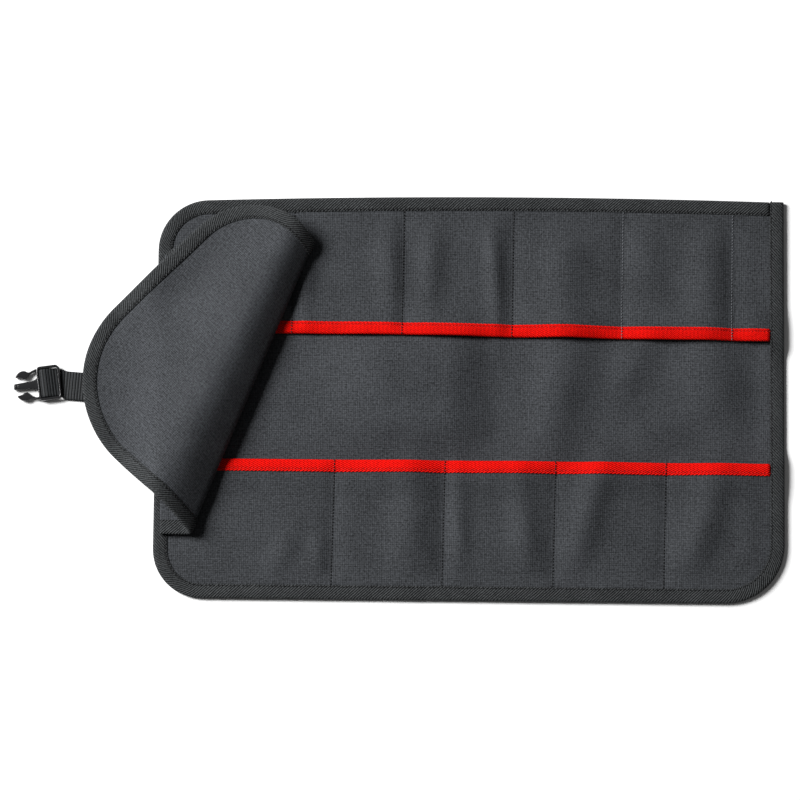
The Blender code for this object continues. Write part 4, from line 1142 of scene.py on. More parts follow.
@dataclass
class FoldedTape:
    """A tape folded over an edge: its sheet's middle and normals, and how far its outer skin stands off both sides."""

    name: str
    base: np.ndarray
    normal: np.ndarray
    over: np.ndarray
    under: np.ndarray
    distances: np.ndarray
    wall: float
    nose: float = 0.0022
    puff: float = 0.00045
    stitched: float = 0.0014
    showing: float = 1.0

    def profile(self) -> tuple[np.ndarray, np.ndarray, np.ndarray, np.ndarray]:
        """Returns the middle, the outer half height, the inner one and the bulge at each place."""
        share = np.clip(self.distances / self.nose, 0, 1)
        within = np.clip((self.distances - self.wall) / max(self.nose - self.wall, 1e-6), 0, 1)
        shown = self.distances[-1]
        bulge = self.puff * np.sin(np.pi * np.clip(self.distances / (shown - self.stitched), 0, 1))
        pinch = 0.00012 * np.exp(-(((self.distances - shown + self.stitched) / 0.0007) ** 2))
        pinch = pinch + 0.00045 * ease((self.distances - shown) / 0.0011 + 1)
        middle = (self.over - self.under) / 2
        half = (self.over + self.under) / 2
        outer = half * np.sqrt(1 - (1 - share) ** 2)
        inner = np.maximum(half - self.wall, 0.0001) * np.sqrt(1 - (1 - within) ** 2)
        return middle, outer, inner, bulge - pinch

    def build(self, along: np.ndarray) -> bpy.types.Object:
        """Makes the tape.

        Args:
            along: Length of the path up to each section.

        Returns:
            The closed strip.
        """
        middle, outer, inner, bulge = self.profile()
        count = len(self.distances)
        tip = int(np.searchsorted(self.distances, self.wall))
        over = self.base + self.normal * (middle + outer + bulge * (self.showing > 0))[..., None]
        under = self.base + self.normal * (middle - outer - bulge * (self.showing < 0))[..., None]
        in_over = self.base + self.normal * (middle + inner)[..., None]
        in_under = self.base + self.normal * (middle - inner)[..., None]
        rings = [under[:, i] for i in range(count - 1, 0, -1)] + [over[:, i] for i in range(count)]
        rings += [in_over[:, i] for i in range(count - 1, tip - 1, -1)]
        rings += [in_under[:, i] for i in range(tip + 1, count)]
        places = [-self.distances[i] for i in range(count - 1, 0, -1)] + list(self.distances)
        places += [self.distances[i] for i in range(count - 1, tip - 1, -1)]
        places += [-self.distances[i] for i in range(tip + 1, count)]
        points = np.stack(rings, axis=1)
        stations, corners = points.shape[:2]
        flat = np.stack(np.broadcast_arrays(along[:, None], np.array(places)[None, :]), axis=-1)
        index = np.arange(stations * corners).reshape(stations, corners)
        turned = np.roll(index, -1, axis=1)
        sides = np.stack([index[:-1], turned[:-1], turned[1:], index[1:]], axis=-1).reshape(-1, 4)
        faces = [tuple(f) for f in sides.tolist()]
        faces += self.cap(index[0], count, tip) + [f[::-1] for f in self.cap(index[-1], count, tip)]
        made = add_mesh(self.name, points.reshape(-1, 3), faces)
        map_cloth(made, flat.reshape(-1, 2))
        return made

    def cap(self, ring: np.ndarray, count: int, tip: int) -> list[tuple[int, ...]]:
        """Closes one end.

        Args:
            ring: Vertices of the end section.
            count: Places across one side.
            tip: The place at which the inner skin turns.

        Returns:
            The faces of the end.
        """
        ring = [int(i) for i in ring]
        under = {i: ring[count - 1 - i] for i in range(count)}
        over = {i: ring[count - 1 + i] for i in range(count)}
        start = 2 * count - 1
        in_over = {i: ring[start + count - 1 - i] for i in range(tip, count)}
        in_under = {i: ring[start + count - tip + i - tip - 1] for i in range(tip + 1, count)}
        in_under[tip] = in_over[tip]
        faces = [(under[i], in_under[i], in_under[i - 1], under[i - 1]) for i in range(count - 1, tip, -1)]
        faces += [(in_over[i], over[i], over[i - 1], in_over[i - 1]) for i in range(tip + 1, count)]
        nose = [under[i] for i in range(tip, 0, -1)] + [over[i] for i in range(tip + 1)]
        faces.append((in_over[tip], *nose[::-1]))
        return faces

    def line(self, distance: float) -> np.ndarray:
        """Finds where thread runs on the side that shows.

        Args:
            distance: How far in from the edge.

        Returns:
            One point for each section.
        """
        middle, outer, _, bulge = self.profile()
        skin = self.base + self.normal * (middle + self.showing * (outer + bulge))[..., None]
        at = int(np.argmin(np.abs(self.distances - distance)))
        return skin[:, at]


def tape_places(shown: float, wall: float) -> np.ndarray:
    """Lists the places across a tape: close together at its nose and at its stitched edge.

    Args:
        shown: How wide the tape shows.
        wall: Its wall.

    Returns:
        Distances in from the edge.
    """
    nose = np.array((0.0, 0.00012, 0.0004, 0.0007, wall, 0.0015, 0.0022))
    middle = np.linspace(0.0034, shown - 0.0031, 5)
    edge = shown - np.array((0.0024, 0.0020, 0.0017, 0.0014, 0.0010, 0.0004, 0.0))
    return np.unique(np.concatenate([nose, middle, edge]).round(7))


def stitch_tree() -> bpy.types.NodeTree:
    """Makes the tree that lays stitches along curves.

    Returns:
        The tree, with named inputs for its sizes.
    """
    group = bpy.data.node_groups.new("stitch_run", "GeometryNodeTree")
    face = group.interface
    face.new_socket("Lines", in_out="INPUT", socket_type="NodeSocketGeometry")
    for label, value in (("Spacing", 0.003), ("Stitch Length", 0.0022), ("Thickness", 0.0006), ("Spread", 0.1)):
        face.new_socket(label, in_out="INPUT", socket_type="NodeSocketFloat").default_value = value
    face.new_socket("Seed", in_out="INPUT", socket_type="NodeSocketInt").default_value = 7
    face.new_socket("Thread", in_out="INPUT", socket_type="NodeSocketMaterial")
    face.new_socket("Stitches", in_out="OUTPUT", socket_type="NodeSocketGeometry")
    tree = Tree(group)
    given = tree.add("NodeGroupInput").outputs
    lines = tree.add("GeometryNodeResampleCurve", {"Curve": given["Lines"], "Length": given["Spacing"]}, mode="LENGTH")
    bead = tree.add("GeometryNodeMeshUVSphere", {"Segments": 6, "Rings": 5, "Radius": 0.5})
    plan = {"X": given["Thickness"], "Y": given["Thickness"], "Z": given["Stitch Length"]}
    size = tree.add("ShaderNodeCombineXYZ", plan).outputs["Vector"]
    shaped = tree.add("GeometryNodeTransform", {"Geometry": bead.outputs["Mesh"], "Scale": size})
    tangent = tree.add("GeometryNodeInputTangent").outputs[0]
    negative = tree.math("MULTIPLY", given["Spread"], -1.0)
    low = tree.add("ShaderNodeCombineXYZ", {0: negative, 1: negative, 2: 0.0}).outputs[0]
    high = tree.add("ShaderNodeCombineXYZ", {0: given["Spread"], 1: given["Spread"], 2: 0.0}).outputs[0]
    random = tree.add("FunctionNodeRandomValue", {0: low, 1: high, "Seed": given["Seed"]}, data_type="FLOAT_VECTOR")
    spread = tree.add("ShaderNodeVectorMath", {0: tangent, 1: random.outputs[0]}, operation="ADD").outputs[0]
    turn = tree.add("FunctionNodeAlignRotationToVector", {"Vector": spread}, axis="Z").outputs[0]
    plan = {"Points": lines.outputs[0], "Instance": shaped.outputs[0], "Rotation": turn}
    laid = tree.add("GeometryNodeInstanceOnPoints", plan)
    real = tree.add("GeometryNodeRealizeInstances", {"Geometry": laid.outputs[0]})
    smooth = tree.add("GeometryNodeSetShadeSmooth", {"Geometry": real.outputs[0]})
    thread = tree.add("GeometryNodeSetMaterial", {"Geometry": smooth.outputs[0], "Material": given["Thread"]})
    tree.add("NodeGroupOutput", {"Stitches": thread.outputs[0]})
    return group


@dataclass
class StitchRun:
    """Rows of stitches that follow lines on the cloth."""

    name: str
    lines: list[np.ndarray]
    thread: bpy.types.Material
    spacing: float = 0.0036
    length: float = 0.0024
    thickness: float = 0.0012
    spread: float = 0.12
    seed: int = 7

    def build(self, slot: str) -> bpy.types.Object:
        """Lays the stitches and makes them a plain mesh.

        Args:
            slot: Not used.

        Returns:
            The piece.
        """
        curve = bpy.data.curves.new(self.name, "CURVE")
        curve.dimensions = "3D"
        for line in self.lines:
            spline = curve.splines.new("POLY")
            spline.points.add(len(line) - 1)
            spline.points.foreach_set("co", np.concatenate([line, np.ones((len(line), 1))], axis=1).ravel())
        carrier = bpy.data.objects.new(self.name + "_lines", curve)
        bpy.context.scene.collection.objects.link(carrier)
        tree = bpy.data.node_groups.get("stitch_run") or stitch_tree()
        modifier = carrier.modifiers.new("stitches", "NODES")
        modifier.node_group = tree
        values = {
            "Spacing": self.spacing,
            "Stitch Length": self.length,
            "Thickness": self.thickness,
            "Spread": self.spread,
            "Seed": self.seed,
            "Thread": self.thread,
        }
        for item in tree.interface.items_tree:
            if item.in_out == "INPUT" and item.name in values:
                modifier[item.identifier] = values[item.name]
        bpy.context.view_layer.update()
        evaluated = carrier.evaluated_get(bpy.context.evaluated_depsgraph_get())
        mesh = bpy.data.meshes.new_from_object(evaluated)
        mesh.name = self.name
        carrier.modifiers.clear()
        bpy.data.objects.remove(carrier)
        made = bpy.data.objects.new(self.name, mesh)
        bpy.context.scene.collection.objects.link(made)
        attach(made, "root")
        return made


@dataclass
class PocketPanel:
    """The back panel with its two rows of pockets, its red mouth tapes, its bound edge and their stitches."""

    ground: Ground
    materials: dict[str, bpy.types.Material]
    cell: float = 0.0027
    pocket_rows: float = 1.15
    corner_steps: int = 14
    mouth_stitched: float = 0.0024
    seam_step: float = 0.0012
    seam_gap: float = 0.0006
    thread_lift: float = 0.0004
    mouth_stitch: tuple[float, float, float] = (0.0026, 0.0015, 0.0008)
    seam_stitch: tuple[float, float, float] = (0.0027, 0.0019, 0.0010)
    grey_stitch: tuple[float, float, float] = (0.0027, 0.0019, 0.0009)

    def outline(self, inset: float) -> tuple[np.ndarray, np.ndarray]:
        """Draws the panel's outline.

        Args:
            inset: How far inside the tape's outer face it runs.

        Returns:
            The bottom and top chains, one point of each for every column.
        """
        s = self.ground.sizes
        left, right, bottom, top = s.left + inset, s.right - inset, s.bottom + inset, s.top - inset
        radius, wide = s.corner - inset, s.corner_right - inset
        turn = np.linspace(0, math.pi / 2, self.corner_steps + 1)
        near = left + radius * (1 - np.cos(turn))
        far = (right - wide * (1 - np.cos(turn)))[::-1]
        straight = np.linspace(near[-1], far[0], int((far[0] - near[-1]) / self.cell) + 1)[1:-1]
        x = np.concatenate([near, straight, far])
        rise, right_rise = radius * (1 - np.sin(turn)), wide * (1 - np.sin(turn))
        flat = np.zeros(len(straight))
        low = bottom + np.concatenate([rise, flat, right_rise[::-1]])
        high = top + self.ground.bow(x) - np.concatenate([rise, flat, np.zeros(len(turn))])
        return np.stack([x, low], axis=1), np.stack([x, high], axis=1)

    def panel(self) -> bpy.types.Object:
        """Makes the back panel's cloth."""
        s = self.ground.sizes
        low, high = self.outline(s.inset)
        flat = between(low, high, int(s.width / self.cell))
        height = self.ground.panel(flat[..., 0], flat[..., 1])
        points = np.concatenate([flat, height[..., None]], axis=-1)
        made = Sheet("panel_cloth_sheet", points, flat, s.cloth).build()
        dress(made, self.materials["panel_cloth"])
        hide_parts("back_panel")
        return made

    def pocket_row(self, row: Row) -> bpy.types.Object:
        """Makes one row's cloth.

        Args:
            row: The row of pockets.

        Returns:
            The piece.
        """
        s = self.ground.sizes
        low, high = self.outline(s.inset)
        edge = high if row is Row.UPPER else low
        mouth = np.stack([edge[:, 0], self.ground.mouth(edge[:, 0], row) + row.value * s.inset], axis=1)
        chains = (mouth, edge) if row is Row.UPPER else (edge, mouth)
        flat = between(*chains, int(s.width / 3 / self.cell * self.pocket_rows))
        height = self.ground.pocket(flat[..., 0], flat[..., 1], row)
        points = np.concatenate([flat, height[..., None]], axis=-1)
        label = row.name.lower()
        made = Sheet(f"pocket_cloth_{label}", points, flat, s.pocket_cloth).build()
        dress(made, self.materials["pocket_cloth"])
        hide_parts(f"pocket_row_{label}")
        return made

    def mouth_tape(self, row: Row) -> tuple[bpy.types.Object, FoldedTape]:
        """Makes the tape over one row's mouths.

        Args:
            row: The row of pockets.

        Returns:
            The piece and its shape.
        """
        s = self.ground.sizes
        inner = (s.left + s.tape_shown + s.play, s.right - s.tape_shown - s.play)
        x = np.linspace(*inner, int((inner[1] - inner[0]) / self.cell))
        distances = tape_places(s.mouth_shown, s.tape)
        across = np.broadcast_to(x[:, None], (len(x), len(distances)))
        mouth = self.ground.mouth(x, row)[:, None]
        y = mouth + row.value * distances[None, :]
        seat = mouth + row.value * np.maximum(distances, s.inset)[None, :]
        height = self.ground.pocket(across, seat, row)
        base = np.stack([across, y, height], axis=-1)
        skin = np.full(across.shape, s.pocket_cloth / 2 + s.tape_skin)
        flipped = slice(None, None, -1) if row is Row.UPPER else slice(None)
        label = row.name.lower()
        name = f"mouth_tape_red_{label}"
        line = self.mouth_stitched
        tape = FoldedTape(name, base[flipped], upright(base), skin, skin, distances, s.tape, stitched=line)
        made = tape.build(np.abs(x - x[0])[flipped])
        dress(made, self.materials["red_tape"])
        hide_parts(f"mouth_tape_{label}")
        return made, tape

    def edge_path(self) -> tuple[np.ndarray, np.ndarray]:
        """Follows the outline clockwise from the square corner.

        Returns:
            Flat points and the ways in from them.
        """
        s = self.ground.sizes
        low, high = self.outline(0.0)
        stop = s.right - s.tape_shown - s.play
        top = high[high[:, 0] < stop - 0.001]
        end = np.array([[stop, self.ground.top_edge(stop)]])
        corner = np.array([[s.right, self.ground.top_edge(s.right)]])
        path = respace(np.concatenate([corner, low[::-1], top, end]), self.cell)
        ways = inward(path)
        return path, ways

    def edge_tape(self) -> tuple[bpy.types.Object, FoldedTape]:
        """Makes the tape round the panel's edge and returns the piece and its shape."""
        s = self.ground.sizes
        path, ways = self.edge_path()
        distances = tape_places(s.tape_shown, s.tape)
        at = path[:, None, :] + ways[:, None, :] * distances[None, :, None]
        height = self.ground.panel(at[..., 0], at[..., 1])
        base = np.concatenate([at, height[..., None]], axis=-1)
        over = self.ground.stack(at[..., 0], at[..., 1]) + s.tape_skin
        under = np.full(over.shape, s.cloth / 2 + s.play + s.tape)
        tape = FoldedTape("edge_binding", base, upright(base), over, under, distances, s.tape)
        made = tape.build(run_lengths(path))
        dress(made, self.materials["black_tape"])
        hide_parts("edge_tape")
        return made, tape

    def seam_lines(self, row: Row) -> list[np.ndarray]:
        """Finds where the seams between a row's pockets run.

        Args:
            row: The row of pockets.

        Returns:
            One line of points for each seam, from the mouth to the bound edge.
        """
        s = self.ground.sizes
        lines = []
        for place in self.ground.seams(row)[1:-1]:
            mouth = float(self.ground.mouth(np.array(place), row))
            edge = self.ground.top_edge(place) if row is Row.UPPER else s.bottom
            deep = abs(edge - mouth) - s.tape_shown - self.seam_gap
            depth = np.arange(self.seam_step, deep, self.seam_step)
            x = place + self.ground.seam_shift(depth, row)
            y = mouth + row.value * depth
            if self.ground.edge_distance(x[-1:], y[-1:])[0] < s.tape_shown:
                continue
            z = self.ground.pocket(x, y, row) + s.pocket_cloth / 2 + self.thread_lift
            tape = s.tape_skin + self.thread_lift
            z = z + tape * (1 - ease((depth - s.mouth_shown + self.thread_lift) / (2 * self.thread_lift)))
            lines.append(np.stack([x, y, z], axis=1))
        return lines

    def build(self) -> list[bpy.types.Object]:
        s = self.ground.sizes
        panel = self.panel()
        edge, edge_shape = self.edge_tape()
        dark = self.materials["dark_thread"]
        line = edge_shape.line(s.tape_shown - edge_shape.stitched)
        edge_stitches = StitchRun("edge_stitches", [line], dark).build("black_tape")
        low, high = self.outline(s.inset)
        pieces = [panel, edge, edge_stitches]
        for row in Row:
            pocket = self.pocket_row(row)
            tape, shape = self.mouth_tape(row)
            label = row.name.lower()
            runs = [shape.line(s.mouth_shown - shape.stitched)]
            red_thread = self.materials["red_thread"]
            red = StitchRun(f"mouth_stitches_{label}", runs, red_thread, *self.mouth_stitch).build("red_tape")
            seams = self.seam_lines(row)
            light = [line for line in seams if row is Row.UPPER and line[0, 0] > s.right - s.length / 3]
            plain = [line for line in seams if not any(line is other for other in light)]
            sewn = [StitchRun(f"pocket_seams_{label}", plain, dark, *self.seam_stitch).build("coated_cloth")]
            if light:
                grey = self.materials["grey_thread"]
                run = StitchRun(f"pocket_seams_{label}_grey", light, grey, *self.grey_stitch)
                sewn.append(run.build("coated_cloth"))
            edge_line = high if row is Row.UPPER else low
            mouth = np.stack([edge_line[:, 0], self.ground.mouth(edge_line[:, 0], row)], axis=1)
            pieces += [pocket, tape, red, *sewn]
        return pieces


@dataclass
class CoverFlap:
    """The flap that folds over the pockets, with its bound edge and stitches."""

    fold: Fold
    materials: dict[str, bpy.types.Material]
    cell: float = 0.0023

    def cloth(self) -> bpy.types.Object:
        """Makes the flap's cloth."""
        s = self.fold.ground.sizes
        top, bottom = self.fold.chains(s.inset)
        columns = int(run_lengths(bottom)[-1] / self.cell)
        flat = between(evenly(bottom, columns), evenly(top, columns), int(self.fold.hinge_top * 2 / self.cell))
        made = Sheet("flap_cloth", self.fold.place(flat), flat, s.cloth).build()
        dress(made, self.materials["panel_cloth"])
        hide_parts("flap")
        return made

    def tape(self) -> tuple[bpy.types.Object, FoldedTape]:
        """Makes the tape round the flap's edge and returns the piece and its shape."""
        s = self.fold.ground.sizes
        top, bottom = self.fold.chains(0.0)
        path = respace(np.concatenate([top, bottom[::-1]]), self.cell)
        ways = inward(path)
        distances = tape_places(s.tape_shown, s.tape)
        flat = path[:, None, :] + ways[:, None, :] * distances[None, :, None]
        base, normal = self.fold.place(flat), self.fold.normal(flat)
        skin = np.full(flat.shape[:-1], s.cloth / 2 + s.tape_skin)
        tape = FoldedTape("flap_binding", base, normal, skin, skin, distances, s.tape, showing=-1.0)
        made = tape.build(run_lengths(path))
        dress(made, self.materials["black_tape"])
        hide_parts("flap_tape")
        return made, tape

    def build(self) -> list[bpy.types.Object]:
        s = self.fold.ground.sizes
        cloth = self.cloth()
        tape, shape = self.tape()
        line = shape.line(s.tape_shown - shape.stitched)
        sewn = StitchRun("flap_stitches", [line], self.materials["dark_thread"], seed=11).build("black_tape")
        top, bottom = self.fold.chains(s.inset)
        return [cloth, tape, sewn]


@dataclass(frozen=True)
class Lane:
    """The way that webbing lies on the ground: straight, then turned and shifted where it meets the buckle."""

    origin: tuple[float, float]
    turn: float = 0.0
    bend: float = 0.0
    shift: float = 0.0
    start: float = 0.0
    end: float = 0.001

    def place(self, points: np.ndarray) -> np.ndarray:
        """Lays points along the lane.

        Args:
            points: Points, X back along the lane, Y to its side and Z up.

        Returns:
            Where they lie.
        """
        far = np.linspace(0.0, 0.2, 801)
        turns = self.turn + self.bend * ease((far - self.start) / (self.end - self.start))
        steps = np.column_stack([-np.cos(turns), -np.sin(turns)]) * (far[1] - far[0])
        middle = np.concatenate([[(0.0, 0.0)], np.cumsum(steps[:-1], axis=0)])
        out = np.clip(-points[..., 0], 0.0, None)
        turned = np.interp(out, far, turns)
        back = np.clip(points[..., 0], 0.0, None)
        side = points[..., 1] + self.shift * ease((out - self.start) / (self.end - self.start))
        x = np.interp(out, far, middle[:, 0]) + back * np.cos(turned) - side * np.sin(turned)
        y = np.interp(out, far, middle[:, 1]) + back * np.sin(turned) + side * np.cos(turned)
        return np.stack([self.origin[0] + x, self.origin[1] + y, points[..., 2]], axis=-1)


@dataclass
class Webbing:
    """A strip of ribbed webbing that follows a route seen from its side."""

    name: str
    route: np.ndarray
    width: float
    wall: float
    material: bpy.types.Material
    node: str
    lane: Lane
    rib_pitch: float = 0.0025
    rib_height: float = 0.00040
    cell: float = 0.00042
    columns: int = 25

    def build(self) -> bpy.types.Object:
        """Makes the webbing with its ribs and round selvedges."""
        path = respace(self.smooth_route(), self.cell)
        lengths = run_lengths(path)
        along = unit(np.gradient(path, axis=0))
        normal = np.stack([-along[:, 1], along[:, 0]], axis=1)
        share = np.linspace(0, 1, self.columns)
        across = (share - 0.5) * self.width
        edge = np.clip((self.width / 2 - np.abs(across)) / (self.wall * 0.7), 0, 1)
        half = self.wall / 2 * (0.35 + 0.65 * np.sqrt(1 - (1 - edge) ** 2))
        rib = np.abs(np.sin(np.pi * lengths / self.rib_pitch)) ** 0.7 * self.rib_height
        thick = half[None, :] + (rib[:, None] - self.rib_height) * np.sqrt(edge)[None, :]
        rows = []
        for side, order in ((1, slice(None)), (-1, slice(None, None, -1))):
            offset = side * thick[:, order]
            x = path[:, None, 0] + normal[:, None, 0] * offset
            z = path[:, None, 1] + normal[:, None, 1] * offset
            rows.append(np.stack([x, np.broadcast_to(across[order], x.shape), z], axis=-1))
        points = np.concatenate(rows, axis=1)
        places = np.concatenate([across, across[::-1] + self.width])
        flat = np.stack(np.broadcast_arrays(lengths[:, None], places[None, :]), axis=-1)
        turned = self.lane.place(points)
        stations, corners = turned.shape[:2]
        index = np.arange(stations * corners).reshape(stations, corners)
        rolled = np.roll(index, -1, axis=1)
        sides = np.stack([index[:-1], index[1:], rolled[1:], rolled[:-1]], axis=-1).reshape(-1, 4)
        half_count = corners // 2
        caps = []
        for ring, flipped in ((index[0], False), (index[-1], True)):
            for i in range(half_count - 1):
                quad = (ring[i], ring[i + 1], ring[corners - 2 - i], ring[corners - 1 - i])
                caps.append(tuple(int(v) for v in (quad[::-1] if flipped else quad)))
        made = add_mesh(self.name, turned.reshape(-1, 3), [tuple(f) for f in sides.tolist()] + caps)
        map_cloth(made, flat.reshape(-1, 2))
        dress(made, self.material)
        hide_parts(self.node)
        return made

    def smooth_route(self) -> np.ndarray:
        """Rounds the route's corners by cutting them three times."""
        path = self.route
        for _ in range(3):
            cut = np.concatenate([path[:-1] * 0.75 + path[1:] * 0.25, path[:-1] * 0.25 + path[1:] * 0.75], axis=1)
            path = np.concatenate([path[:1], cut.reshape(-1, 2), path[-1:]])
        return path


class Point(NamedTuple):
    """A corner of the plug's comb, in millimetres: out from the plug's rear and to the side of its middle."""

    out: float
    side: float


class Moulding:
    """Gathers closed solids with round rims into one mesh."""

    def __init__(self) -> None:
        """Starts with no solids."""
        self.vertices: list[np.ndarray] = []
        self.faces: list[tuple[int, ...]] = []

    def sweep(self, rings: np.ndarray, loop: bool) -> None:
        """Joins rings of points with faces.

        Args:
            rings: Rings, each with its points, anticlockwise as seen against the way the rings go.
            loop: Whether the last ring joins the first. If not, both ends are closed.
        """
        base = sum(len(v) for v in self.vertices)
        count, corners = rings.shape[:2]
        index = np.arange(count * corners).reshape(count, corners) + base
        rows = np.concatenate([index, index[:1]]) if loop else index
        turned = np.roll(rows, -1, axis=1)
        sides = np.stack([rows[:-1], turned[:-1], turned[1:], rows[1:]], axis=-1).reshape(-1, 4)
        self.faces += [tuple(f) for f in sides.tolist()]
        if not loop:
            self.faces += [tuple(index[0][::-1].tolist()), tuple(index[-1].tolist())]
        self.vertices.append(rings.reshape(-1, 3))

    def slab(self, outline: np.ndarray, low: float, high: float, rim: float) -> None:
        """Adds a flat solid with a round rim.

        Args:
            outline: Its flat outline, anticlockwise.
            low: Its underside.
            high: Its top.
            rim: Radius of the rim.
        """
        along = unit(np.roll(outline, -1, axis=0) - np.roll(outline, 1, axis=0))
        into = np.stack([-along[:, 1], along[:, 0]], axis=1)
        turns = np.linspace(0, math.pi / 2, 5)
        steps = [(rim * (1 - math.sin(a)), low + rim * (1 - math.cos(a))) for a in turns]
        steps += [(rim * (1 - math.cos(a)), high - rim * (1 - math.sin(a))) for a in turns]
        rings = [np.column_stack([outline + into * inset, np.full(len(outline), z)]) for inset, z in steps]
        self.sweep(np.array(rings), False)

    def frame(self, outer: np.ndarray, inner: np.ndarray, low: np.ndarray, high: float, rim: float) -> None:
        """Adds a flat frame with a round section.

        Args:
            outer: Outer outline, anticlockwise.
            inner: Window, with one point for each of the outer outline.
            low: Height of the underside at each point.
            high: Height of the top.
            rim: Radius of the section's corners.
        """
        turns = np.linspace(0, math.pi / 2, 4)
        rings = []
        for out, into, bottom in zip(outer, inner, low):
            wide, tall = float(np.linalg.norm(into - out)), high - float(bottom)
            way = (into - out) / wide
            corners = ((0, 0, 1, 1), (0, tall, 1, -1), (wide, tall, -1, -1), (wide, 0, -1, 1))
            section = []
            for number, (x, z, x_way, z_way) in enumerate(corners):
                arc = turns if number % 2 == 0 else turns[::-1]
                for a in arc:
                    across = x + x_way * rim * (1 - math.sin(a))
                    up = z + z_way * rim * (1 - math.cos(a))
                    section.append((*(out + way * across), bottom + up))
            rings.append(section)
        self.sweep(np.array(rings), True)

    def build(self, name: str) -> bpy.types.Object:
        """Makes the mesh."""
        return add_mesh(name, np.concatenate(self.vertices), self.faces)


def round_box(low: Sequence[float], high: Sequence[float], radius: float, steps: int = 6) -> np.ndarray:
    """Draws a rectangle with round corners.

    Args:
        low: Its lower corner.
        high: Its higher corner.
        radius: Radius of its corners.
        steps: Points on each corner.

    Returns:
        Points, anticlockwise.
    """
    centres = (
        (high[0] - radius, high[1] - radius),
        (low[0] + radius, high[1] - radius),
        (low[0] + radius, low[1] + radius),
        (high[0] - radius, low[1] + radius),
    )
    made = []
    for number, centre in enumerate(centres):
        for a in np.linspace(0, math.pi / 2, steps) + number * math.pi / 2:
            made.append((centre[0] + radius * math.cos(a), centre[1] + radius * math.sin(a)))
    return np.array(made)


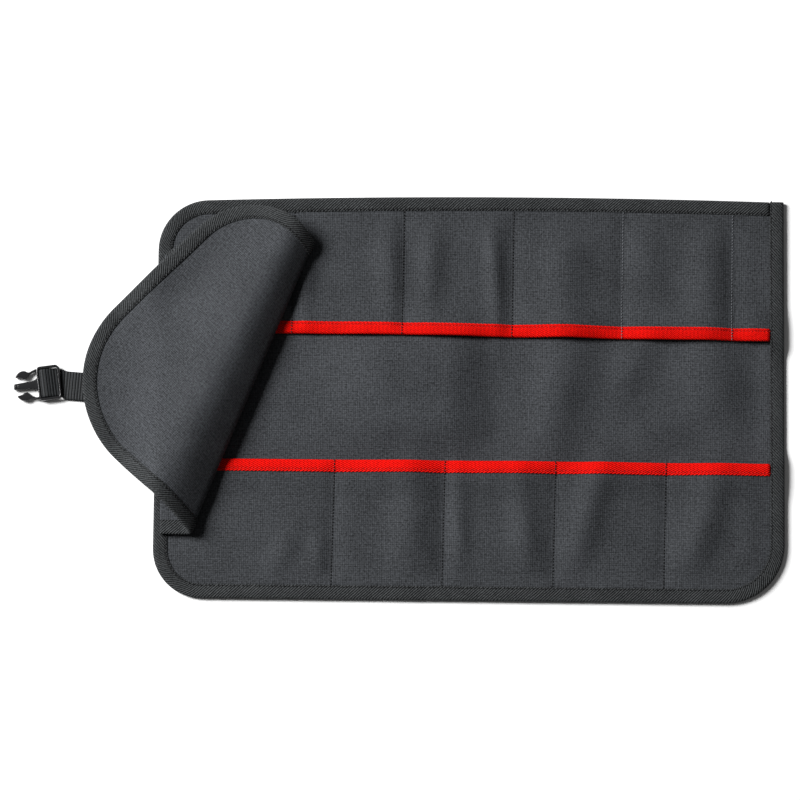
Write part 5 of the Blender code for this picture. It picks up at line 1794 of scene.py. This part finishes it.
@dataclass
class StrapEnd:
    """The strap's sewn end and tail, and the plug that it holds."""

    sizes: RollSizes
    materials: dict[str, bpy.types.Material]
    buckle_turn: float = math.radians(12.3)
    buckle_shift: float = 0.0032
    plug_length: float = 0.040
    frame_start: float = 0.0008
    frame_end: float = 0.0208
    frame_half: float = 0.0152
    window_half: float = 0.0129
    frame_low: float = 0.0004
    frame_high: float = 0.0062
    rear_low: float = 0.0032
    comb: tuple[float, float] = (0.0010, 0.0048)
    bar: tuple[float, float] = (0.0130, 0.0160)
    bar_height: tuple[float, float] = (0.0022, 0.0046)
    play: float = 0.0014
    tail_gap: float = 0.026
    arm: tuple[Point, ...] = (
        Point(19.4, 13.9),
        Point(21.4, 13.6),
        Point(24.4, 12.7),
        Point(27.2, 11.3),
        Point(28.8, 12.0),
        Point(30.4, 13.1),
        Point(32.8, 13.5),
        Point(35.6, 12.8),
        Point(38.0, 11.0),
        Point(39.9, 8.6),
        Point(38.6, 7.8),
        Point(36.4, 7.9),
        Point(34.5, 7.0),
        Point(32.4, 5.8),
        Point(30.1, 6.0),
        Point(28.2, 7.6),
        Point(26.8, 9.6),
        Point(24.2, 11.0),
        Point(21.9, 11.5),
        Point(20.6, 10.4),
        Point(19.4, 9.9),
    )
    prong: tuple[Point, ...] = (
        Point(19.4, 6.4),
        Point(21.2, 5.8),
        Point(22.6, 4.2),
        Point(25.6, 3.5),
        Point(32.0, 3.1),
        Point(40.8, 2.7),
        Point(41.9, 2.2),
    )

    def route(self) -> np.ndarray:
        """Draws the strap from its sewn end round the buckle's bar and back, X from the panel's edge."""
        s = self.sizes
        lane = s.webbing_wall / 2
        upper = 3 * lane + s.play
        reach = s.buckle_reach - self.plug_length
        crest = self.frame_high - lane
        return np.array(
            (
                (s.strap_sewn, lane),
                (-self.tail_gap * 0.6, lane),
                (-self.tail_gap, upper),
                (-reach, upper),
                (-reach - 0.0036, upper),
                (-reach - 0.0078, upper + 0.0016),
                (-reach - 0.0118, crest - 0.0004),
                (-reach - 0.0136, crest + lane * 0.6),
                (-reach - 0.0166, crest + lane * 0.6),
                (-reach - 0.0186, crest - 0.0012),
                (-reach - 0.0184, upper),
                (-reach - 0.0160, lane),
                (-self.tail_gap - s.webbing_wall * 2, lane),
            )
        )

    def lane(self) -> Lane:
        """Returns the strap's way to the buckle and on through it."""
        s = self.sizes
        reach = s.buckle_reach - self.plug_length
        origin = (s.left, s.strap_offset)
        return Lane(origin, s.strap_turn, self.buckle_turn, self.buckle_shift, reach - 0.004, reach + 0.003)

    def plug(self) -> bpy.types.Object:
        """Makes the plug: a frame with a window and a bar, a middle prong and two arms with leaf-shaped heads."""
        s = self.sizes
        moulded = Moulding()
        outer = round_box((self.frame_start, -self.frame_half), (self.frame_end, self.frame_half), 0.0034)
        window = (self.frame_start + 0.0019, -self.window_half), (self.frame_end - 0.0019, self.window_half)
        inner = round_box(*window, 0.0010)
        low = self.frame_low + (self.rear_low - self.frame_low) * ease((0.0062 - outer[:, 0]) / 0.0022)
        moulded.frame(outer, inner, low, self.frame_high, 0.0006)
        across = self.window_half + 0.0006
        moulded.slab(round_box((self.bar[0], -across), (self.bar[1], across), 0.0005), *self.bar_height, 0.0005)
        arm, side = np.array(self.arm) / 1000, np.array(self.prong) / 1000
        prong = np.concatenate([side, side[::-1] * (1, -1)])
        for outline in (arm[::-1], arm * (1, -1), prong[::-1]):
            for _ in range(3):
                after = np.roll(outline, -1, axis=0)
                cut = [outline * 0.75 + after * 0.25, outline * 0.25 + after * 0.75]
                outline = np.stack(cut, axis=1).reshape(-1, 2)
            moulded.slab(respace(np.concatenate([outline, outline[:1]]), 0.0005)[:-1], *self.comb, 0.0006)
        for place in (0.0372, 0.0396):
            moulded.slab(round_box((place, -0.0016), (place + 0.0012, 0.0016), 0.0004), 0.0030, 0.0052, 0.0003)
        made = moulded.build("buckle_plug_moulded")
        points = np.concatenate(moulded.vertices)
        along = np.column_stack([self.plug_length - s.buckle_reach - points[:, 0], -points[:, 1], points[:, 2]])
        placed = self.lane().place(along)
        made.data.vertices.foreach_set("co", placed.astype(np.float32).ravel())
        made.data.update()
        dress(made, self.materials["black_plastic"])
        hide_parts("buckle_plug")
        return made

    def build(self) -> list[bpy.types.Object]:
        """Makes the strap and the plug, and returns them."""
        s = self.sizes
        webbing = self.materials["black_webbing"]
        strap = Webbing("strap_webbing", self.route(), s.webbing, s.webbing_wall, webbing, "strap", self.lane())
        return [strap.build(), self.plug()]


@dataclass
class HiddenSocket:
    """The socket half and the webbing tab that holds it, under the panel."""

    sizes: RollSizes
    materials: dict[str, bpy.types.Material]

    def route(self) -> np.ndarray:
        """Draws the tab round the socket's bar and back, seen from its side."""
        s = self.sizes
        lane = s.webbing_wall / 2
        rear = s.left + s.socket_reach - s.socket_length
        low = s.webbing_wall + 2 * s.play
        top = low + s.socket_bar + 2.5 * s.play + lane
        end = rear - s.tab_length
        beyond = rear + s.socket_bar + s.play + lane
        upper = 3 * lane + s.play
        return np.array(
            (
                (end, lane),
                (rear + s.socket_bar * 0.9, lane),
                (beyond, 2 * lane + s.play * 2),
                (beyond, top - lane),
                (rear + s.socket_bar * 0.8, top),
                (rear + s.socket_bar * 0.1, top),
                (rear - s.socket_bar * 1.6, upper + lane),
                (rear - s.socket_bar * 3.0, upper),
                (end, upper),
            )
        )

    def build(self) -> list[bpy.types.Object]:
        """Makes the tab, dresses the socket and returns the tab."""
        s = self.sizes
        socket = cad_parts["buckle_socket"]
        socket.data.materials.clear()
        socket.data.materials.append(self.materials["black_plastic"])
        webbing = self.materials["black_webbing"]
        lane = Lane((0.0, s.socket_offset))
        tab = Webbing("socket_tab_webbing", self.route(), s.webbing, s.webbing_wall, webbing, "socket_tab", lane)
        return [tab.build()]


@dataclass
class Studio:
    """The floor, the light and the camera of the photograph."""

    pixel: float = 0.0008755
    image: int = 800
    tilt: float = math.radians(9.0)
    roll: float = math.radians(0.6)
    lens: float = 200.0
    sensor: float = 36.0
    aim: tuple[float, float, float] = (0.0, -0.0011, 0.0)
    key_place: tuple[float, float, float] = (-3.55, 1.65, 3.35)
    key_size: float = 2.2
    key_power: float = 560.0
    sky: float = 0.10
    floor_half: float = 6.0
    floor_gap: float = 0.00005

    def camera(self) -> bpy.types.Object:
        """Makes the camera, leaning a little towards -Y."""
        data = bpy.data.cameras.new("camera")
        data.lens, data.sensor_width = self.lens, self.sensor
        data.clip_end = 30
        made = bpy.data.objects.new("camera", data)
        bpy.context.scene.collection.objects.link(made)
        back = np.array((0.0, -math.sin(self.tilt), math.cos(self.tilt)))
        level_up = np.array((0.0, math.cos(self.tilt), math.sin(self.tilt)))
        level_right = np.array((1.0, 0.0, 0.0))
        right = level_right * math.cos(self.roll) + level_up * math.sin(self.roll)
        up = level_up * math.cos(self.roll) - level_right * math.sin(self.roll)
        far = self.pixel * self.image * self.lens / self.sensor
        place = np.array(self.aim) + back * far
        turn = Matrix(np.stack([right, up, back], axis=1).tolist())
        made.matrix_world = Matrix.Translation(place.tolist()) @ turn.to_4x4()
        bpy.context.scene.camera = made
        return made

    def light(self, name: str, place: Sequence[float], size: float, power: float) -> None:
        """Makes a soft square light that faces the roll.

        Args:
            name: Its name.
            place: Where it stands.
            size: Length of its side.
            power: Its watts.
        """
        data = bpy.data.lights.new(name, "AREA")
        data.size, data.energy = size, power
        made = bpy.data.objects.new(name, data)
        bpy.context.scene.collection.objects.link(made)
        back = unit(np.array(place))
        side = unit(np.cross((0.0, 1.0, 0.2), back))
        turn = Matrix(np.stack([side, np.cross(back, side), back], axis=1).tolist())
        made.matrix_world = Matrix.Translation(place) @ turn.to_4x4()

    def floor(self) -> None:
        """Makes the pale floor, just under the roll."""
        half = self.floor_half
        points = np.array([(-half, -half, 0), (half, -half, 0), (half, half, 0), (-half, half, 0)])
        made = add_mesh("floor", points - np.array((0, 0, self.floor_gap)), [(0, 1, 2, 3)])
        paint, tree, shader = start_material("floor_paper", roughness=0.9)
        where = tree.add("ShaderNodeTexCoord").outputs["Object"]
        mottle = tree.noise(where, 30.0, 3.0)
        tree.link(tinted(tree, mottle, (0.9, 0.9, 0.9), 0.99, 1.01), shader.inputs["Base Color"])
        made.data.materials.append(paint)

    def build(self) -> None:
        """Makes the camera, the floor, the key light and the sky."""
        self.camera()
        self.floor()
        self.light("key_light", self.key_place, self.key_size, self.key_power)
        world = bpy.data.worlds.new("studio")
        world.use_nodes = True
        sky = world.node_tree.nodes["Background"].inputs
        sky["Color"].default_value = (1, 1, 1, 1)
        sky["Strength"].default_value = self.sky
        bpy.context.scene.world = world
        bpy.context.scene.view_settings.view_transform = "Standard"


def main() -> None:
    """Builds the studio, then each sub-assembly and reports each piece."""
    logging.basicConfig(level=logging.INFO, format="%(name)s: %(message)s")
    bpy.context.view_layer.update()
    Studio().build()
    materials = Palette().build()
    ground = Ground()
    builders = (
        PocketPanel(ground, materials),
        CoverFlap(Fold(ground), materials),
        StrapEnd(ground.sizes, materials),
        HiddenSocket(ground.sizes, materials),
    )
    for builder in builders:
        for piece in builder.build():
            piece.data.calc_loop_triangles()
            LOG.info("%s: %d triangles", piece.name, len(piece.data.loop_triangles))


if __name__ == "__main__":
    main()
